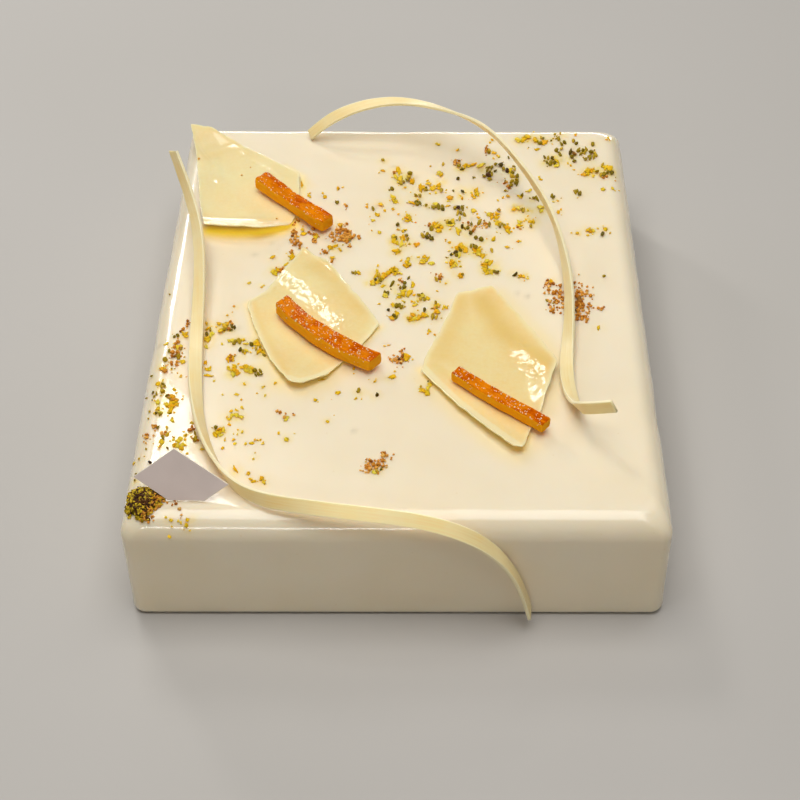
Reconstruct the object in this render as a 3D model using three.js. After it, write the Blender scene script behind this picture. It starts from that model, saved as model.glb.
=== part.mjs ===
// Entremet: a rectangular, mirror-glazed cake with white-chocolate shards,
// ribbons, candied orange sticks, a clump of chopped pistachio and a blank
// plaque.  Millimetres, +Z up.  The origin is the middle of the cake's
// underside; -Y is the front.
import * as THREE from 'three';

// ---------------------------------------------------------------- sizes
const CAKE = { width: 180, depth: 225, height: 45 };
const EDGE = { top: 8.49, corner: 4.72, bottom: 2.34, spread: 0.6 }; // radii; the corners widen as the glaze turns over the top
const GAP = 0.3;                                   // clearance between pieces that touch
const SHARD = { thickness: 0.9 };
const RIBBON = { width: 5.0, thickness: 1.25, bevel: 0.22 };
const PLAQUE = { thickness: 0.9, lean: 59, turn: -1.4, foot: [-68.25, -102.2] };
const CLUMP = { centre: [-82.2, -101.9], radius: [6.1, 6.4], height: 3.1 };

const COLOUR = {
  glaze: 0xf1e5c6, shard: 0xf1dda6, ribbon: 0xead29a,
  orange: 0xd8741c, plaque: 0xb0a39b, pistachio: 0x7d7a2c,
};
const finish = (color, roughness) => new THREE.MeshStandardMaterial({ color, roughness, metalness: 0 });

// ---------------------------------------------------------------- closed meshes
// rings: arrays of equally many [x, y, z] points; neighbouring rings are
// joined by quads and the first and last are closed by fans to their middles.
function loft(rings, capStart = true, capEnd = true) {
  const n = rings[0].length, pos = [], tri = [];
  for (const ring of rings) for (const p of ring) pos.push(...p);
  for (let i = 0; i + 1 < rings.length; i++)
    for (let k = 0; k < n; k++) {
      const a = i * n + k, b = i * n + (k + 1) % n, c = a + n, d = b + n;
      tri.push(a, b, d, a, d, c);
    }
  const fan = (i, flip) => {
    const m = [0, 0, 0];
    for (const p of rings[i]) for (let j = 0; j < 3; j++) m[j] += p[j] / n;
    const c = pos.length / 3;
    pos.push(...m);
    for (let k = 0; k < n; k++) {
      const a = i * n + k, b = i * n + (k + 1) % n;
      tri.push(...(flip ? [c, b, a] : [c, a, b]));
    }
  };
  if (capStart) fan(0, true);
  if (capEnd) fan(rings.length - 1, false);
  return closed(pos, tri);
}

// indexed geometry whose faces are turned outwards
function closed(pos, tri) {
  let v = 0;
  const P = (i) => new THREE.Vector3(pos[3 * i], pos[3 * i + 1], pos[3 * i + 2]);
  for (let t = 0; t < tri.length; t += 3) v += P(tri[t]).dot(P(tri[t + 1]).cross(P(tri[t + 2])));
  if (v < 0) for (let t = 0; t < tri.length; t += 3) [tri[t + 1], tri[t + 2]] = [tri[t + 2], tri[t + 1]];
  const g = new THREE.BufferGeometry();
  g.setAttribute('position', new THREE.Float32BufferAttribute(pos, 3));
  g.setIndex(tri);
  g.computeVertexNormals();
  return g;
}

const mix = (a, b, t) => a + (b - a) * t;
const smooth = (t) => { t = Math.min(1, Math.max(0, t)); return t * t * (3 - 2 * t); };

// ---------------------------------------------------------------- the cake
// outline of the cake at angle a round the top edge (0 = side wall, 90 deg = top face)
const topRing = (a) => ({
  inset: EDGE.top * (1 - Math.cos(a)),
  z: CAKE.height - EDGE.top * (1 - Math.sin(a)),
  r: EDGE.corner + EDGE.spread * EDGE.top * (1 - Math.cos(a)),
});

function roundedOutline(inset, r, z, steps = 7) {
  const hx = CAKE.width / 2 - inset, hy = CAKE.depth / 2 - inset, ring = [];
  [[1, 1], [-1, 1], [-1, -1], [1, -1]].forEach(([sx, sy], q) => {
    for (let i = 0; i <= steps; i++) {
      const b = (q + i / steps) * Math.PI / 2;
      ring.push([sx * (hx - r) + r * Math.cos(b), sy * (hy - r) + r * Math.sin(b), z]);
    }
  });
  return ring;
}

function cakeBody() {
  const rings = [];
  for (let i = 0; i <= 3; i++) {
    const a = i / 3 * Math.PI / 2, inset = EDGE.bottom * (1 - Math.sin(a));
    rings.push(roundedOutline(inset, EDGE.corner - 0.6 * inset, EDGE.bottom * (1 - Math.cos(a))));
  }
  for (let i = 0; i <= 7; i++) {
    const t = topRing(i / 7 * Math.PI / 2);
    rings.push(roundedOutline(t.inset, t.r, t.z));
  }
  return loft(rings);
}

// height of the glaze over the point (x, y)
function glazeHeight(x, y) {
  const inside = (a) => {
    const t = topRing(a), qx = Math.abs(x) - (CAKE.width / 2 - t.inset - t.r), qy = Math.abs(y) - (CAKE.depth / 2 - t.inset - t.r);
    return Math.hypot(Math.max(qx, 0), Math.max(qy, 0)) + Math.min(Math.max(qx, qy), 0) - t.r <= 0;
  };
  if (inside(Math.PI / 2)) return CAKE.height;
  if (!inside(0)) return 0;
  let lo = 0, hi = Math.PI / 2;
  for (let i = 0; i < 30; i++) { const m = (lo + hi) / 2; if (inside(m)) lo = m; else hi = m; }
  return topRing(lo).z;
}

// ---------------------------------------------------------------- curled shards
// A thin broken sheet.  Its corners are [x, y, lift of the rim over the top
// face]; the middle lies flat on the glaze and the rims curl up to their lifts.
function shard({ corners, centre, curl, step = 4.2 }) {
  const edge = [];
  corners.forEach((p, i) => {
    const q = corners[(i + 1) % corners.length];
    const n = Math.max(1, Math.round(Math.hypot(q[0] - p[0], q[1] - p[1]) / step));
    for (let k = 0; k < n; k++) edge.push([mix(p[0], q[0], k / n), mix(p[1], q[1], k / n), mix(p[2], q[2], k / n)]);
  });
  const base = CAKE.height + GAP + SHARD.thickness / 2;
  const rim = (p) => Math.max(CAKE.height + p[2] - SHARD.thickness / 2, base);
  const mid = (p, r) => [mix(centre[0], p[0], r), mix(centre[1], p[1], r), base + (rim(p) - base) * Math.pow(r, curl)];
  const radii = [0.3, 0.6, 0.8, 0.92, 1];
  const face = (r, s) => edge.map((p) => { const m = mid(p, r); return [m[0], m[1], m[2] + s * SHARD.thickness / 2]; });
  const rings = [...radii.map((r) => face(r, -1)), ...radii.slice().reverse().map((r) => face(r, 1))];
  const geometry = loft(rings);
  // height of the sheet's upper face over (x, y), or of the glaze beside it
  const top = (x, y) => {
    const dx = x - centre[0], dy = y - centre[1];
    for (let i = 0; i < edge.length; i++) {
      const p = edge[i], q = edge[(i + 1) % edge.length];
      const ax = p[0] - centre[0], ay = p[1] - centre[1], bx = q[0] - centre[0], by = q[1] - centre[1];
      const det = ax * by - ay * bx, u = (dx * by - dy * bx) / det, v = (ax * dy - ay * dx) / det;
      if (u >= 0 && v >= 0) {
        if (u + v > 1.02) break;
        const r = Math.max(u + v, 1e-6), e = [0, 0, mix(p[2], q[2], v / r)];
        return mid(e, r)[2] + SHARD.thickness / 2;
      }
    }
    return CAKE.height;
  };
  return { geometry, top };
}

const shardBackLeft = shard({
  centre: [-63, 62], curl: 4,
  corners: [
    [-88.0, 101.0, 7.0], [-79.5, 101.5, 4.2], [-69.5, 96.2, 2.4], [-59.8, 89.2, 1.8], [-49.3, 80.5, 2.0], [-42.0, 75.5, 1.7],
    [-41.3, 62.9, 1.5], [-42.1, 46.8, 1.7], [-43.8, 40.2, 2.6], [-53.8, 35.0, 5.4], [-65.5, 35.3, 5.6], [-76.3, 37.8, 4.8],
    [-79.9, 54.9, 2.4], [-83.0, 76.1, 1.6], [-84.3, 85.0, 2.2], [-85.4, 90.3, 4.0],
  ],
});
const shardCentre = shard({
  centre: [-32, -12], curl: 4,
  corners: [
    [-37.8, 28.2, 2.0], [-32.9, 22.8, 1.6], [-28.1, 20.6, 1.4], [-22.4, 10.5, 1.4], [-14.4, -2.7, 1.6], [-7.6, -16.2, 2.0],
    [-13.0, -25.9, 1.4], [-20.5, -36.4, 1.6], [-25.4, -44.1, 2.8], [-34.0, -49.4, 3.9], [-38.2, -48.3, 3.8], [-41.4, -43.5, 3.2],
    [-45.5, -36.5, 2.6], [-50.9, -23.5, 2.0], [-56.4, -6.1, 1.5], [-55.8, -3.2, 1.5], [-50.6, 2.1, 1.4], [-47.0, 9.1, 1.4],
    [-42.6, 17.4, 1.5], [-39.5, 23.8, 1.8],
  ],
});
const shardRight = shard({
  centre: [32, -32], curl: 4,
  corners: [
    [20.3, 0.9, 2.0], [33.5, 4.7, 2.6], [39.7, -6.3, 2.8], [48.1, -21.8, 3.2], [55.4, -37.7, 4.0], [48.5, -61.0, 1.6],
    [44.3, -71.6, 2.2], [41.7, -80.0, 3.7], [38.3, -79.5, 3.8], [29.8, -70.6, 3.6], [20.3, -59.8, 3.2], [12.6, -49.0, 2.6],
    [7.4, -40.9, 2.0], [9.9, -30.2, 1.5], [13.8, -20.5, 1.5], [17.8, -8.7, 1.7],
  ],
});

// ---------------------------------------------------------------- candied orange sticks
// A cut strip of peel: straight or bowed, thick at one end, with uneven
// sides.  It lies on what is under it, tilted by `tilt` mm from end to end.
function orangeStick({ start, end, width, height, bow, tilt, phase, under }) {
  const L = Math.hypot(end[0] - start[0], end[1] - start[1]);
  const d = [(end[0] - start[0]) / L, (end[1] - start[1]) / L], n = [-d[1], d[0]];
  const steps = 16, line = [];
  for (let i = 0; i <= steps; i++) {
    const s = i / steps, off = -bow * 4 * s * (1 - s);
    const w = width * (1 + 0.05 * Math.sin(9 * s + phase) + 0.03 * Math.sin(23 * s + 2 * phase));
    const h = height * (1 + 0.05 * Math.sin(7 * s + 2.1 * phase));
    line.push({ s, x: start[0] + d[0] * L * s + n[0] * off, y: start[1] + d[1] * L * s + n[1] * off, w, h });
  }
  let lift = -Infinity;
  for (const p of line)
    for (let k = -4; k <= 4; k++)
      lift = Math.max(lift, under(p.x + n[0] * p.w * k / 8, p.y + n[1] * p.w * k / 8) + GAP - tilt * (p.s - 0.5));
  const rings = line.map((p, i) => {
    const last = i === 0 || i === line.length - 1 ? 0.9 : 1;      // the cut ends are a little rounded
    const z0 = lift + tilt * (p.s - 0.5) + p.h * (1 - last) / 2;
    // an uneven rounded oblong: wider at the foot, with a slightly hollow top
    const profile = [[-0.5, 0.1], [-0.42, 0], [0.42, 0], [0.5, 0.12], [0.49, 0.86], [0.4, 1], [0.12, 0.95], [-0.14, 0.94], [-0.4, 0.99], [-0.48, 0.88]];
    return profile.map(([u, v]) => {
      const c = u * p.w * last;
      return [p.x + n[0] * c, p.y + n[1] * c, z0 + v * p.h * last];
    });
  });
  return loft(rings);
}

// ---------------------------------------------------------------- ribbons
// Long flat strips.  Stations are [x, y, z, roll]; a natural cubic spline runs
// through them, and roll turns the strip's face about its own line.
function naturalSpline(knots, values) {
  const n = knots.length, m = new Array(n).fill(0), c = new Array(n).fill(0), dd = new Array(n).fill(0);
  for (let i = 1; i < n - 1; i++) {
    const h0 = knots[i] - knots[i - 1], h1 = knots[i + 1] - knots[i];
    const r = 6 * ((values[i + 1] - values[i]) / h1 - (values[i] - values[i - 1]) / h0);
    const p = 2 * (h0 + h1) - h0 * c[i - 1];
    c[i] = h1 / p;
    dd[i] = (r - h0 * dd[i - 1]) / p;
  }
  for (let i = n - 2; i > 0; i--) m[i] = dd[i] - c[i] * m[i + 1];
  return (x) => {
    let i = 0;
    while (i < n - 2 && x > knots[i + 1]) i++;
    const h = knots[i + 1] - knots[i], a = (knots[i + 1] - x) / h, b = (x - knots[i]) / h;
    return a * values[i] + b * values[i + 1] + ((a ** 3 - a) * m[i] + (b ** 3 - b) * m[i + 1]) * h * h / 6;
  };
}

function ribbon({ stations, steps, startSlant = 0, endSlant = 0 }) {
  const knots = [0];
  for (let i = 1; i < stations.length; i++)
    knots.push(knots[i - 1] + Math.hypot(...[0, 1, 2].map((j) => stations[i][j] - stations[i - 1][j])));
  const f = [0, 1, 2, 3].map((j) => naturalSpline(knots, stations.map((s) => s[j])));
  const L = knots[knots.length - 1], at = (s) => new THREE.Vector3(f[0](s), f[1](s), f[2](s));
  const W = RIBBON.width / 2, T = RIBBON.thickness / 2, B = RIBBON.bevel;
  const section = [[-W + B, -T], [W - B, -T], [W, -T + B], [W, T - B], [W - B, T], [-W + B, T], [-W, T - B], [-W, -T + B]];
  const rings = [];
  for (let i = 0; i <= steps; i++) {
    const s = L * i / steps, e = L * 1e-3;
    const P = at(s), tangent = at(Math.min(L, s + e)).sub(at(Math.max(0, s - e))).normalize();
    const side = new THREE.Vector3().crossVectors(tangent, new THREE.Vector3(0, 0, 1)).normalize();
    const up = new THREE.Vector3().crossVectors(side, tangent);
    const roll = THREE.MathUtils.degToRad(f[3](s));
    const face = side.clone().multiplyScalar(Math.cos(roll)).addScaledVector(up, Math.sin(roll));
    const across = side.clone().multiplyScalar(-Math.sin(roll)).addScaledVector(up, Math.cos(roll));
    const slant = i === 0 ? startSlant : i === steps ? endSlant : 0;
    rings.push(section.map(([a, t]) => P.clone().addScaledVector(across, a).addScaledVector(face, t)
      .addScaledVector(tangent, slant * a / W).toArray()));
  }
  return loft(rings);
}

const RIBBON_LEFT = {
  steps: 64, startSlant: 1.5, endSlant: 1.0,
  stations: [
    [-88.8, 61.4, 66.9, 21], [-81.9, 44.5, 58.7, 32], [-75.3, 15.6, 55.4, 50], [-73.4, -10.0, 50.4, 67], [-72.0, -36.2, 48.0, 95],
    [-68.5, -62.4, 47.7, 136], [-60.5, -85.9, 48.2, 157], [-49.6, -100.4, 48.4, 187], [-31.2, -108.1, 49.8, 221],
    [-11.1, -112.3, 50.8, 221], [9.7, -114.4, 48.6, 219], [24.4, -115.4, 42.3, 240], [38.0, -115.6, 25.3, 267], [44.1, -116.7, 6.4, 277],
  ],
};
const RIBBON_ARC = {
  steps: 60, startSlant: 0, endSlant: 0,
  stations: [
    [-39.1, 101.1, 46.9, 60], [-31.2, 101.0, 54.1, 65], [-6.1, 103.5, 61.7, 86], [15.3, 95.4, 63.5, 117], [29.4, 85.7, 63.3, 146],
    [42.4, 68.0, 61.3, 160], [51.0, 52.8, 57.5, 172], [58.2, 31.1, 54.2, 180], [60.9, 15.3, 50.2, 199], [61.3, -6.7, 48.8, 216],
    [59.6, -27.9, 47.4, 236], [58.5, -46.8, 47.0, 277], [60.7, -62.5, 50.1, 319], [62.0, -66.9, 53.6, 340], [71.3, -74.7, 62.0, 356],
  ],
};

// ---------------------------------------------------------------- plaque
// A thin lozenge leaning back, its lowest corner cut straight where it stands
// on the glaze.  Corners are [along, up the slope] from the middle of the foot.
function plaque() {
  const outline = [[-5.95, 0], [5.95, 0], [13.8, 5.6], [-3.7, 17.3], [-17.05, 7.6]];
  const turn = THREE.MathUtils.degToRad(PLAQUE.turn), lean = THREE.MathUtils.degToRad(PLAQUE.lean);
  const along = new THREE.Vector3(Math.cos(turn), Math.sin(turn), 0);
  const back = new THREE.Vector3(-Math.sin(turn), Math.cos(turn), 0);
  const slope = back.clone().multiplyScalar(Math.cos(lean)).add(new THREE.Vector3(0, 0, Math.sin(lean)));
  const out = new THREE.Vector3().crossVectors(along, slope);
  const foot = new THREE.Vector3(PLAQUE.foot[0], PLAQUE.foot[1], CAKE.height + GAP + PLAQUE.thickness * Math.cos(lean));
  // the front face stays where it is; the thickness goes behind it
  const face = (back_) => outline.map(([a, h]) => foot.clone().addScaledVector(along, a).addScaledVector(slope, h)
    .addScaledVector(out, -back_).toArray());
  return loft([face(0), face(PLAQUE.thickness)]);
}

// ---------------------------------------------------------------- chopped pistachio clump
// A low heap that follows the glaze over the cake's front-left corner.
function clump() {
  const N = 26, radii = [0.3, 0.62, 0.86, 1];
  const outline = (b) => 1 + 0.09 * Math.sin(3 * b + 0.6) + 0.07 * Math.sin(5 * b + 2.2) + 0.04 * Math.sin(8 * b);
  const spot = (b, r) => [CLUMP.centre[0] + CLUMP.radius[0] * outline(b) * r * Math.cos(b), CLUMP.centre[1] + CLUMP.radius[1] * outline(b) * r * Math.sin(b)];
  const lump = (x, y) => 0.32 * Math.sin(1.3 * x + 0.4) * Math.sin(1.1 * y + 1.2) + 0.2 * Math.sin(2.4 * x - 1.7 * y);
  const ring = (r, upper) => Array.from({ length: N }, (_, k) => {
    const b = k / N * 2 * Math.PI, [x, y] = spot(b, r), z = glazeHeight(x, y) + GAP;
    const h = upper ? Math.max(0.5, (CLUMP.height - 0.5) * (1 - r ** 2.4) + 0.5 + lump(x, y) * (1 - r * 0.5)) : 0;
    return [x, y, z + h];
  });
  return loft([...radii.map((r) => ring(r, false)), ...radii.slice().reverse().map((r) => ring(r, true))]);
}

// ---------------------------------------------------------------- assembly
const entremet = new THREE.Group();
function add(name, geometry, color, roughness) {
  const mesh = new THREE.Mesh(geometry, finish(color, roughness));
  mesh.name = name;
  entremet.add(mesh);
}

add('cake_body', cakeBody(), COLOUR.glaze, 0.12);
add('shard_back_left', shardBackLeft.geometry, COLOUR.shard, 0.25);
add('shard_centre', shardCentre.geometry, COLOUR.shard, 0.25);
add('shard_right', shardRight.geometry, COLOUR.shard, 0.25);
add('orange_stick_back_left', orangeStick({
  start: [-56.4, 65.8], end: [-29.0, 39.1], width: 6.7, height: 4.8, bow: 0.3, tilt: -1.2, phase: 0.4, under: shardBackLeft.top,
}), COLOUR.orange, 0.35);
add('orange_stick_centre', orangeStick({
  start: [-43.2, -9.4], end: [-8.6, -39.5], width: 7.0, height: 5.3, bow: 3.0, tilt: -0.9, phase: 2.0, under: shardCentre.top,
}), COLOUR.orange, 0.35);
add('orange_stick_right', orangeStick({
  start: [19.4, -45.5], end: [49.7, -70.7], width: 5.2, height: 3.8, bow: 0.4, tilt: -0.4, phase: 4.1, under: shardRight.top,
}), COLOUR.orange, 0.35);
add('ribbon_left', ribbon(RIBBON_LEFT), COLOUR.ribbon, 0.3);
add('ribbon_arc', ribbon(RIBBON_ARC), COLOUR.ribbon, 0.3);
add('plaque', plaque(), COLOUR.plaque, 0.7);
add('pistachio_clump', clump(), COLOUR.pistachio, 0.8);

export default entremet;
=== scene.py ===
import math

import bmesh
import bpy
import numpy as np
from mathutils import Matrix, Vector


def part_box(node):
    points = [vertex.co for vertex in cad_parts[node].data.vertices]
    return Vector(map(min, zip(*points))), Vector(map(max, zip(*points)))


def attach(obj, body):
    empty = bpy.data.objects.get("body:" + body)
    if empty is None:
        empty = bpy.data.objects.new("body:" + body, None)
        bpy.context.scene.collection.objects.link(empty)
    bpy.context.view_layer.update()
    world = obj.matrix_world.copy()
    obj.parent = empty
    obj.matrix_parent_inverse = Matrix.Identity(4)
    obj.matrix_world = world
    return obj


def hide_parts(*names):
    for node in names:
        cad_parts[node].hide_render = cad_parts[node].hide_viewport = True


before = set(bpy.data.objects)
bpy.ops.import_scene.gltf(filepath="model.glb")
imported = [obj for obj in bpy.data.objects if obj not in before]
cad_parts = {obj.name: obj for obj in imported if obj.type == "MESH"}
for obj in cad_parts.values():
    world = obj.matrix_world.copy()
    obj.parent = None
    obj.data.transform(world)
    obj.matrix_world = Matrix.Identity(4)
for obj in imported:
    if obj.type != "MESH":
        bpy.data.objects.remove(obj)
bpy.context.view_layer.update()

MM = 0.001
TAU = 2 * math.pi

# sizes in millimetres; origin at the middle of the cake's foot, X right, Y back, Z up
WIDTH, DEPTH, HEIGHT = 180.0, 225.0, 45.0
TOP_R, CORNER_R, FOOT_R, SPREAD = 8.49, 4.72, 2.34, 0.6
SHEET = 0.9
RIBBON_W, RIBBON_T = 5.0, 1.25


# ---------------------------------------------------------------- helpers

def display(r, g, b):
    """A display colour, 0 to 255, as scene linear."""
    out = []
    for c in (r, g, b):
        c = c / 255.0
        out.append(c / 12.92 if c <= 0.04045 else ((c + 0.055) / 1.055) ** 2.4)
    return (*out, 1.0)


class Waves:
    """Smooth seeded noise: a sum of sines in random directions, about -1 to 1, for points in millimetres."""

    def __init__(self, seed, wave, count=10, squash=(1, 1, 1)):
        r = np.random.default_rng(seed)
        d = r.normal(size=(count, 3))
        d /= np.linalg.norm(d, axis=1)[:, None]
        self.k = d * np.array(squash)[None] * (TAU / (wave * r.uniform(0.65, 1.5, (count, 1))))
        self.p = r.uniform(0, TAU, count)
        self.n = math.sqrt(count)

    def __call__(self, points):
        return np.sin(points @ self.k.T + self.p).sum(1) / self.n


def smooth(a, b, x):
    t = np.clip((x - a) / (b - a), 0, 1)
    return t * t * (3 - 2 * t)


def make(name, verts, faces, material, replaces=(), attributes=None, flat=False):
    """A mesh piece from points in millimetres, riding on the body."""
    verts = np.asarray(verts, float)
    me = bpy.data.meshes.new(name)
    me.from_pydata((verts * MM).tolist(), [], faces)
    me.polygons.foreach_set("use_smooth", [not flat] * len(me.polygons))
    for key, values in (attributes or {}).items():
        values = np.asarray(values, np.float32)
        if values.ndim == 2:
            at = me.attributes.new(key, "FLOAT_VECTOR", "POINT")
            at.data.foreach_set("vector", values.ravel())
        else:
            at = me.attributes.new(key, "FLOAT", "POINT")
            at.data.foreach_set("value", values)
    me.update()
    ob = bpy.data.objects.new(name, me)
    bpy.context.scene.collection.objects.link(ob)
    me.materials.append(material)
    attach(ob, "root")
    if replaces:
        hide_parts(*replaces)
    return ob


def quads(rows, cols, start=0, wrap=True):
    """Faces between rings that go up and run anticlockwise seen from above, facing out."""
    out = []
    for i in range(rows - 1):
        for j in range(cols if wrap else cols - 1):
            k = (j + 1) % cols
            a, b = start + i * cols, start + (i + 1) * cols
            out.append((a + j, a + k, b + k, b + j))
    return out


# ---------------------------------------------------------------- materials

class Finish:
    def __init__(self, name):
        self.m = bpy.data.materials.new(name)
        self.m.use_nodes = True
        self.t = self.m.node_tree
        self.t.nodes.clear()
        self.out = self.t.nodes.new("ShaderNodeOutputMaterial")
        self.b = self.t.nodes.new("ShaderNodeBsdfPrincipled")
        self.t.links.new(self.b.outputs[0], self.out.inputs[0])
        self.coords = None

    def set(self, **values):
        for key, v in values.items():
            self.b.inputs[key.replace("_", " ")].default_value = v

    def link(self, value, socket):
        if isinstance(value, bpy.types.NodeSocket):
            self.t.links.new(value, socket)
        else:
            socket.default_value = value

    def place(self):
        if self.coords is None:
            self.coords = self.t.nodes.new("ShaderNodeTexCoord").outputs["Object"]
        return self.coords

    def attribute(self, name, vector=False):
        n = self.t.nodes.new("ShaderNodeAttribute")
        n.attribute_name = name
        return n.outputs["Vector" if vector else "Fac"]

    def scaled(self, vector, scale):
        n = self.t.nodes.new("ShaderNodeMapping")
        self.link(vector, n.inputs["Vector"])
        n.inputs["Scale"].default_value = scale
        return n.outputs[0]

    def noise(self, wave, detail=2.0, rough=0.5, vector=None, distortion=0.0):
        """Noise whose main wave is that many millimetres, or vector units where a vector is given."""
        n = self.t.nodes.new("ShaderNodeTexNoise")
        self.link(vector if vector is not None else self.place(), n.inputs["Vector"])
        n.inputs["Scale"].default_value = 1000.0 / wave if vector is None else 1.0 / wave
        n.inputs["Detail"].default_value = detail
        n.inputs["Roughness"].default_value = rough
        n.inputs["Distortion"].default_value = distortion
        return n.outputs["Fac"]

    def cells(self, wave, feature="F1", vector=None):
        n = self.t.nodes.new("ShaderNodeTexVoronoi")
        n.feature = feature
        self.link(vector if vector is not None else self.place(), n.inputs["Vector"])
        n.inputs["Scale"].default_value = 1000.0 / wave if vector is None else 1.0 / wave
        return n.outputs["Distance"]

    def span(self, value, a, b, lo=0.0, hi=1.0):
        n = self.t.nodes.new("ShaderNodeMapRange")
        n.clamp = True
        self.link(value, n.inputs["Value"])
        for key, v in (("From Min", a), ("From Max", b), ("To Min", lo), ("To Max", hi)):
            n.inputs[key].default_value = v
        return n.outputs[0]

    def sum(self, a, b, op="ADD"):
        n = self.t.nodes.new("ShaderNodeMath")
        n.operation = op
        self.link(a, n.inputs[0])
        self.link(b, n.inputs[1])
        return n.outputs[0]

    def mix(self, fac, a, b, blend="MIX"):
        n = self.t.nodes.new("ShaderNodeMix")
        n.data_type = "RGBA"
        n.blend_type = blend
        self.link(fac, n.inputs[0])
        self.link(a, n.inputs[6])
        self.link(b, n.inputs[7])
        return n.outputs[2]

    def ramp(self, fac, stops):
        n = self.t.nodes.new("ShaderNodeValToRGB")
        self.link(fac, n.inputs[0])
        els = n.color_ramp.elements
        while len(els) > 1:
            els.remove(els[-1])
        els[0].position, els[0].color = stops[0]
        for pos, col in stops[1:]:
            e = els.new(pos)
            e.color = col
        return n.outputs[0]

    def color(self, socket):
        self.link(socket, self.b.inputs["Base Color"])

    def roughness(self, socket):
        self.link(socket, self.b.inputs["Roughness"])

    def bump(self, height, distance, strength=1.0):
        n = self.t.nodes.new("ShaderNodeBump")
        n.inputs["Strength"].default_value = strength
        n.inputs["Distance"].default_value = distance * MM
        self.link(height, n.inputs["Height"])
        self.link(n.outputs[0], self.b.inputs["Normal"])

    def shine(self, fac, rgb, strength):
        """Light that comes through from behind: rgb where fac is 1."""
        self.link(self.mix(fac, (0.0, 0.0, 0.0, 1.0), rgb), self.b.inputs["Emission Color"])
        self.b.inputs["Emission Strength"].default_value = strength


def glaze_finish():
    f = Finish("ivory_mirror_glaze")
    cloud = f.noise(34.0, 2.0, 0.5)
    fine = f.noise(3.0, 3.0, 0.6)
    base = f.mix(f.span(cloud, 0.35, 0.65), display(246, 231, 202), display(243, 227, 195))
    base = f.mix(f.attribute("stain"), base, display(246, 216, 112))
    base = f.mix(f.attribute("sunk"), base, display(176, 160, 124))
    # painted light: a golden glow painted into the glaze below the raised rims of the shards, standing for light that
    # comes through the chocolate
    base = f.mix(f.attribute("glow"), base, display(252, 214, 80))
    dots = f.span(f.cells(7.0), 0.035, 0.06, 1.0, 0.0)
    base = f.mix(f.sum(dots, 0.22, "MULTIPLY"), base, display(226, 200, 145))
    f.color(base)
    # painted light: the glaze gives off a golden glow (emission) in the shade just below those rims
    f.shine(f.attribute("lit"), (1.0, 0.82, 0.03, 1.0), 0.38)
    f.roughness(f.span(fine, 0.3, 0.7, 0.20, 0.27))
    f.bump(f.noise(5.0, 2.0, 0.5), 0.05, 0.35)
    f.set(Subsurface_Weight=0.6, Subsurface_Radius=(1.0, 0.85, 0.65), Subsurface_Scale=0.004,
          Coat_Weight=0.65, Coat_Roughness=0.05, Coat_IOR=1.45, IOR=1.42, Specular_IOR_Level=0.4)
    return f.m


def sheet_finish():
    f = Finish("white_chocolate_sheet")
    rim = f.attribute("rim")
    cloud = f.noise(16.0, 3.0, 0.55, distortion=0.4)
    fine = f.noise(1.4, 3.0, 0.6)
    body = f.mix(f.span(cloud, 0.3, 0.7), display(253, 223, 163), display(249, 211, 144))
    body = f.mix(f.span(fine, 0.35, 0.7, 0.0, 0.25), body, display(253, 232, 184))
    # painted shade: darker bands where the sheet turns away from the light
    body = f.mix(f.attribute("painted_shade"), body, display(232, 196, 112))
    # paler at the rims: partly the thinner chocolate, partly painted light coming through the thin edges and raised
    # lips
    body = f.mix(f.sum(rim, 0.65, "MULTIPLY"), body, display(255, 234, 192))
    f.color(body)
    f.roughness(f.span(f.noise(2.2, 3.0, 0.6), 0.3, 0.7, 0.12, 0.22))
    f.bump(f.noise(0.9, 3.0, 0.6), 0.012, 0.5)
    f.set(Subsurface_Weight=0.85, Subsurface_Radius=(1.0, 0.85, 0.6), Subsurface_Scale=0.0013,
          Coat_Weight=0.6, Coat_Roughness=0.05, Coat_IOR=1.45, IOR=1.42, Specular_IOR_Level=0.4)
    return f.m


def ribbon_finish():
    f = Finish("white_chocolate_ribbon")
    strip = f.attribute("strip", vector=True)
    streak = f.noise(1.0, 3.0, 0.6, vector=f.scaled(strip, (0.045, 2.2, 1.0)))
    cloud = f.noise(9.0, 2.0, 0.5)
    body = f.mix(f.span(streak, 0.3, 0.7), display(251, 226, 170), display(246, 213, 148))
    body = f.mix(f.span(cloud, 0.35, 0.7, 0.0, 0.5), body, display(249, 230, 186))
    # painted highlight: the strip is lighter along its arrises
    edge = f.attribute("rim")
    body = f.mix(f.sum(edge, 0.6, "MULTIPLY"), body, display(253, 235, 196))
    f.color(body)
    f.shine(f.attribute("lit"), (1.0, 0.88, 0.46, 1.0), 0.15)
    f.roughness(f.span(f.noise(2.0, 3.0, 0.6), 0.3, 0.7, 0.34, 0.48))
    f.bump(streak, 0.03, 0.5)
    f.set(Subsurface_Weight=0.7, Subsurface_Radius=(0.9, 0.85, 0.75), Subsurface_Scale=0.0022,
          Coat_Weight=0.12, Coat_Roughness=0.25, IOR=1.42, Specular_IOR_Level=0.4)
    return f.m


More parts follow.
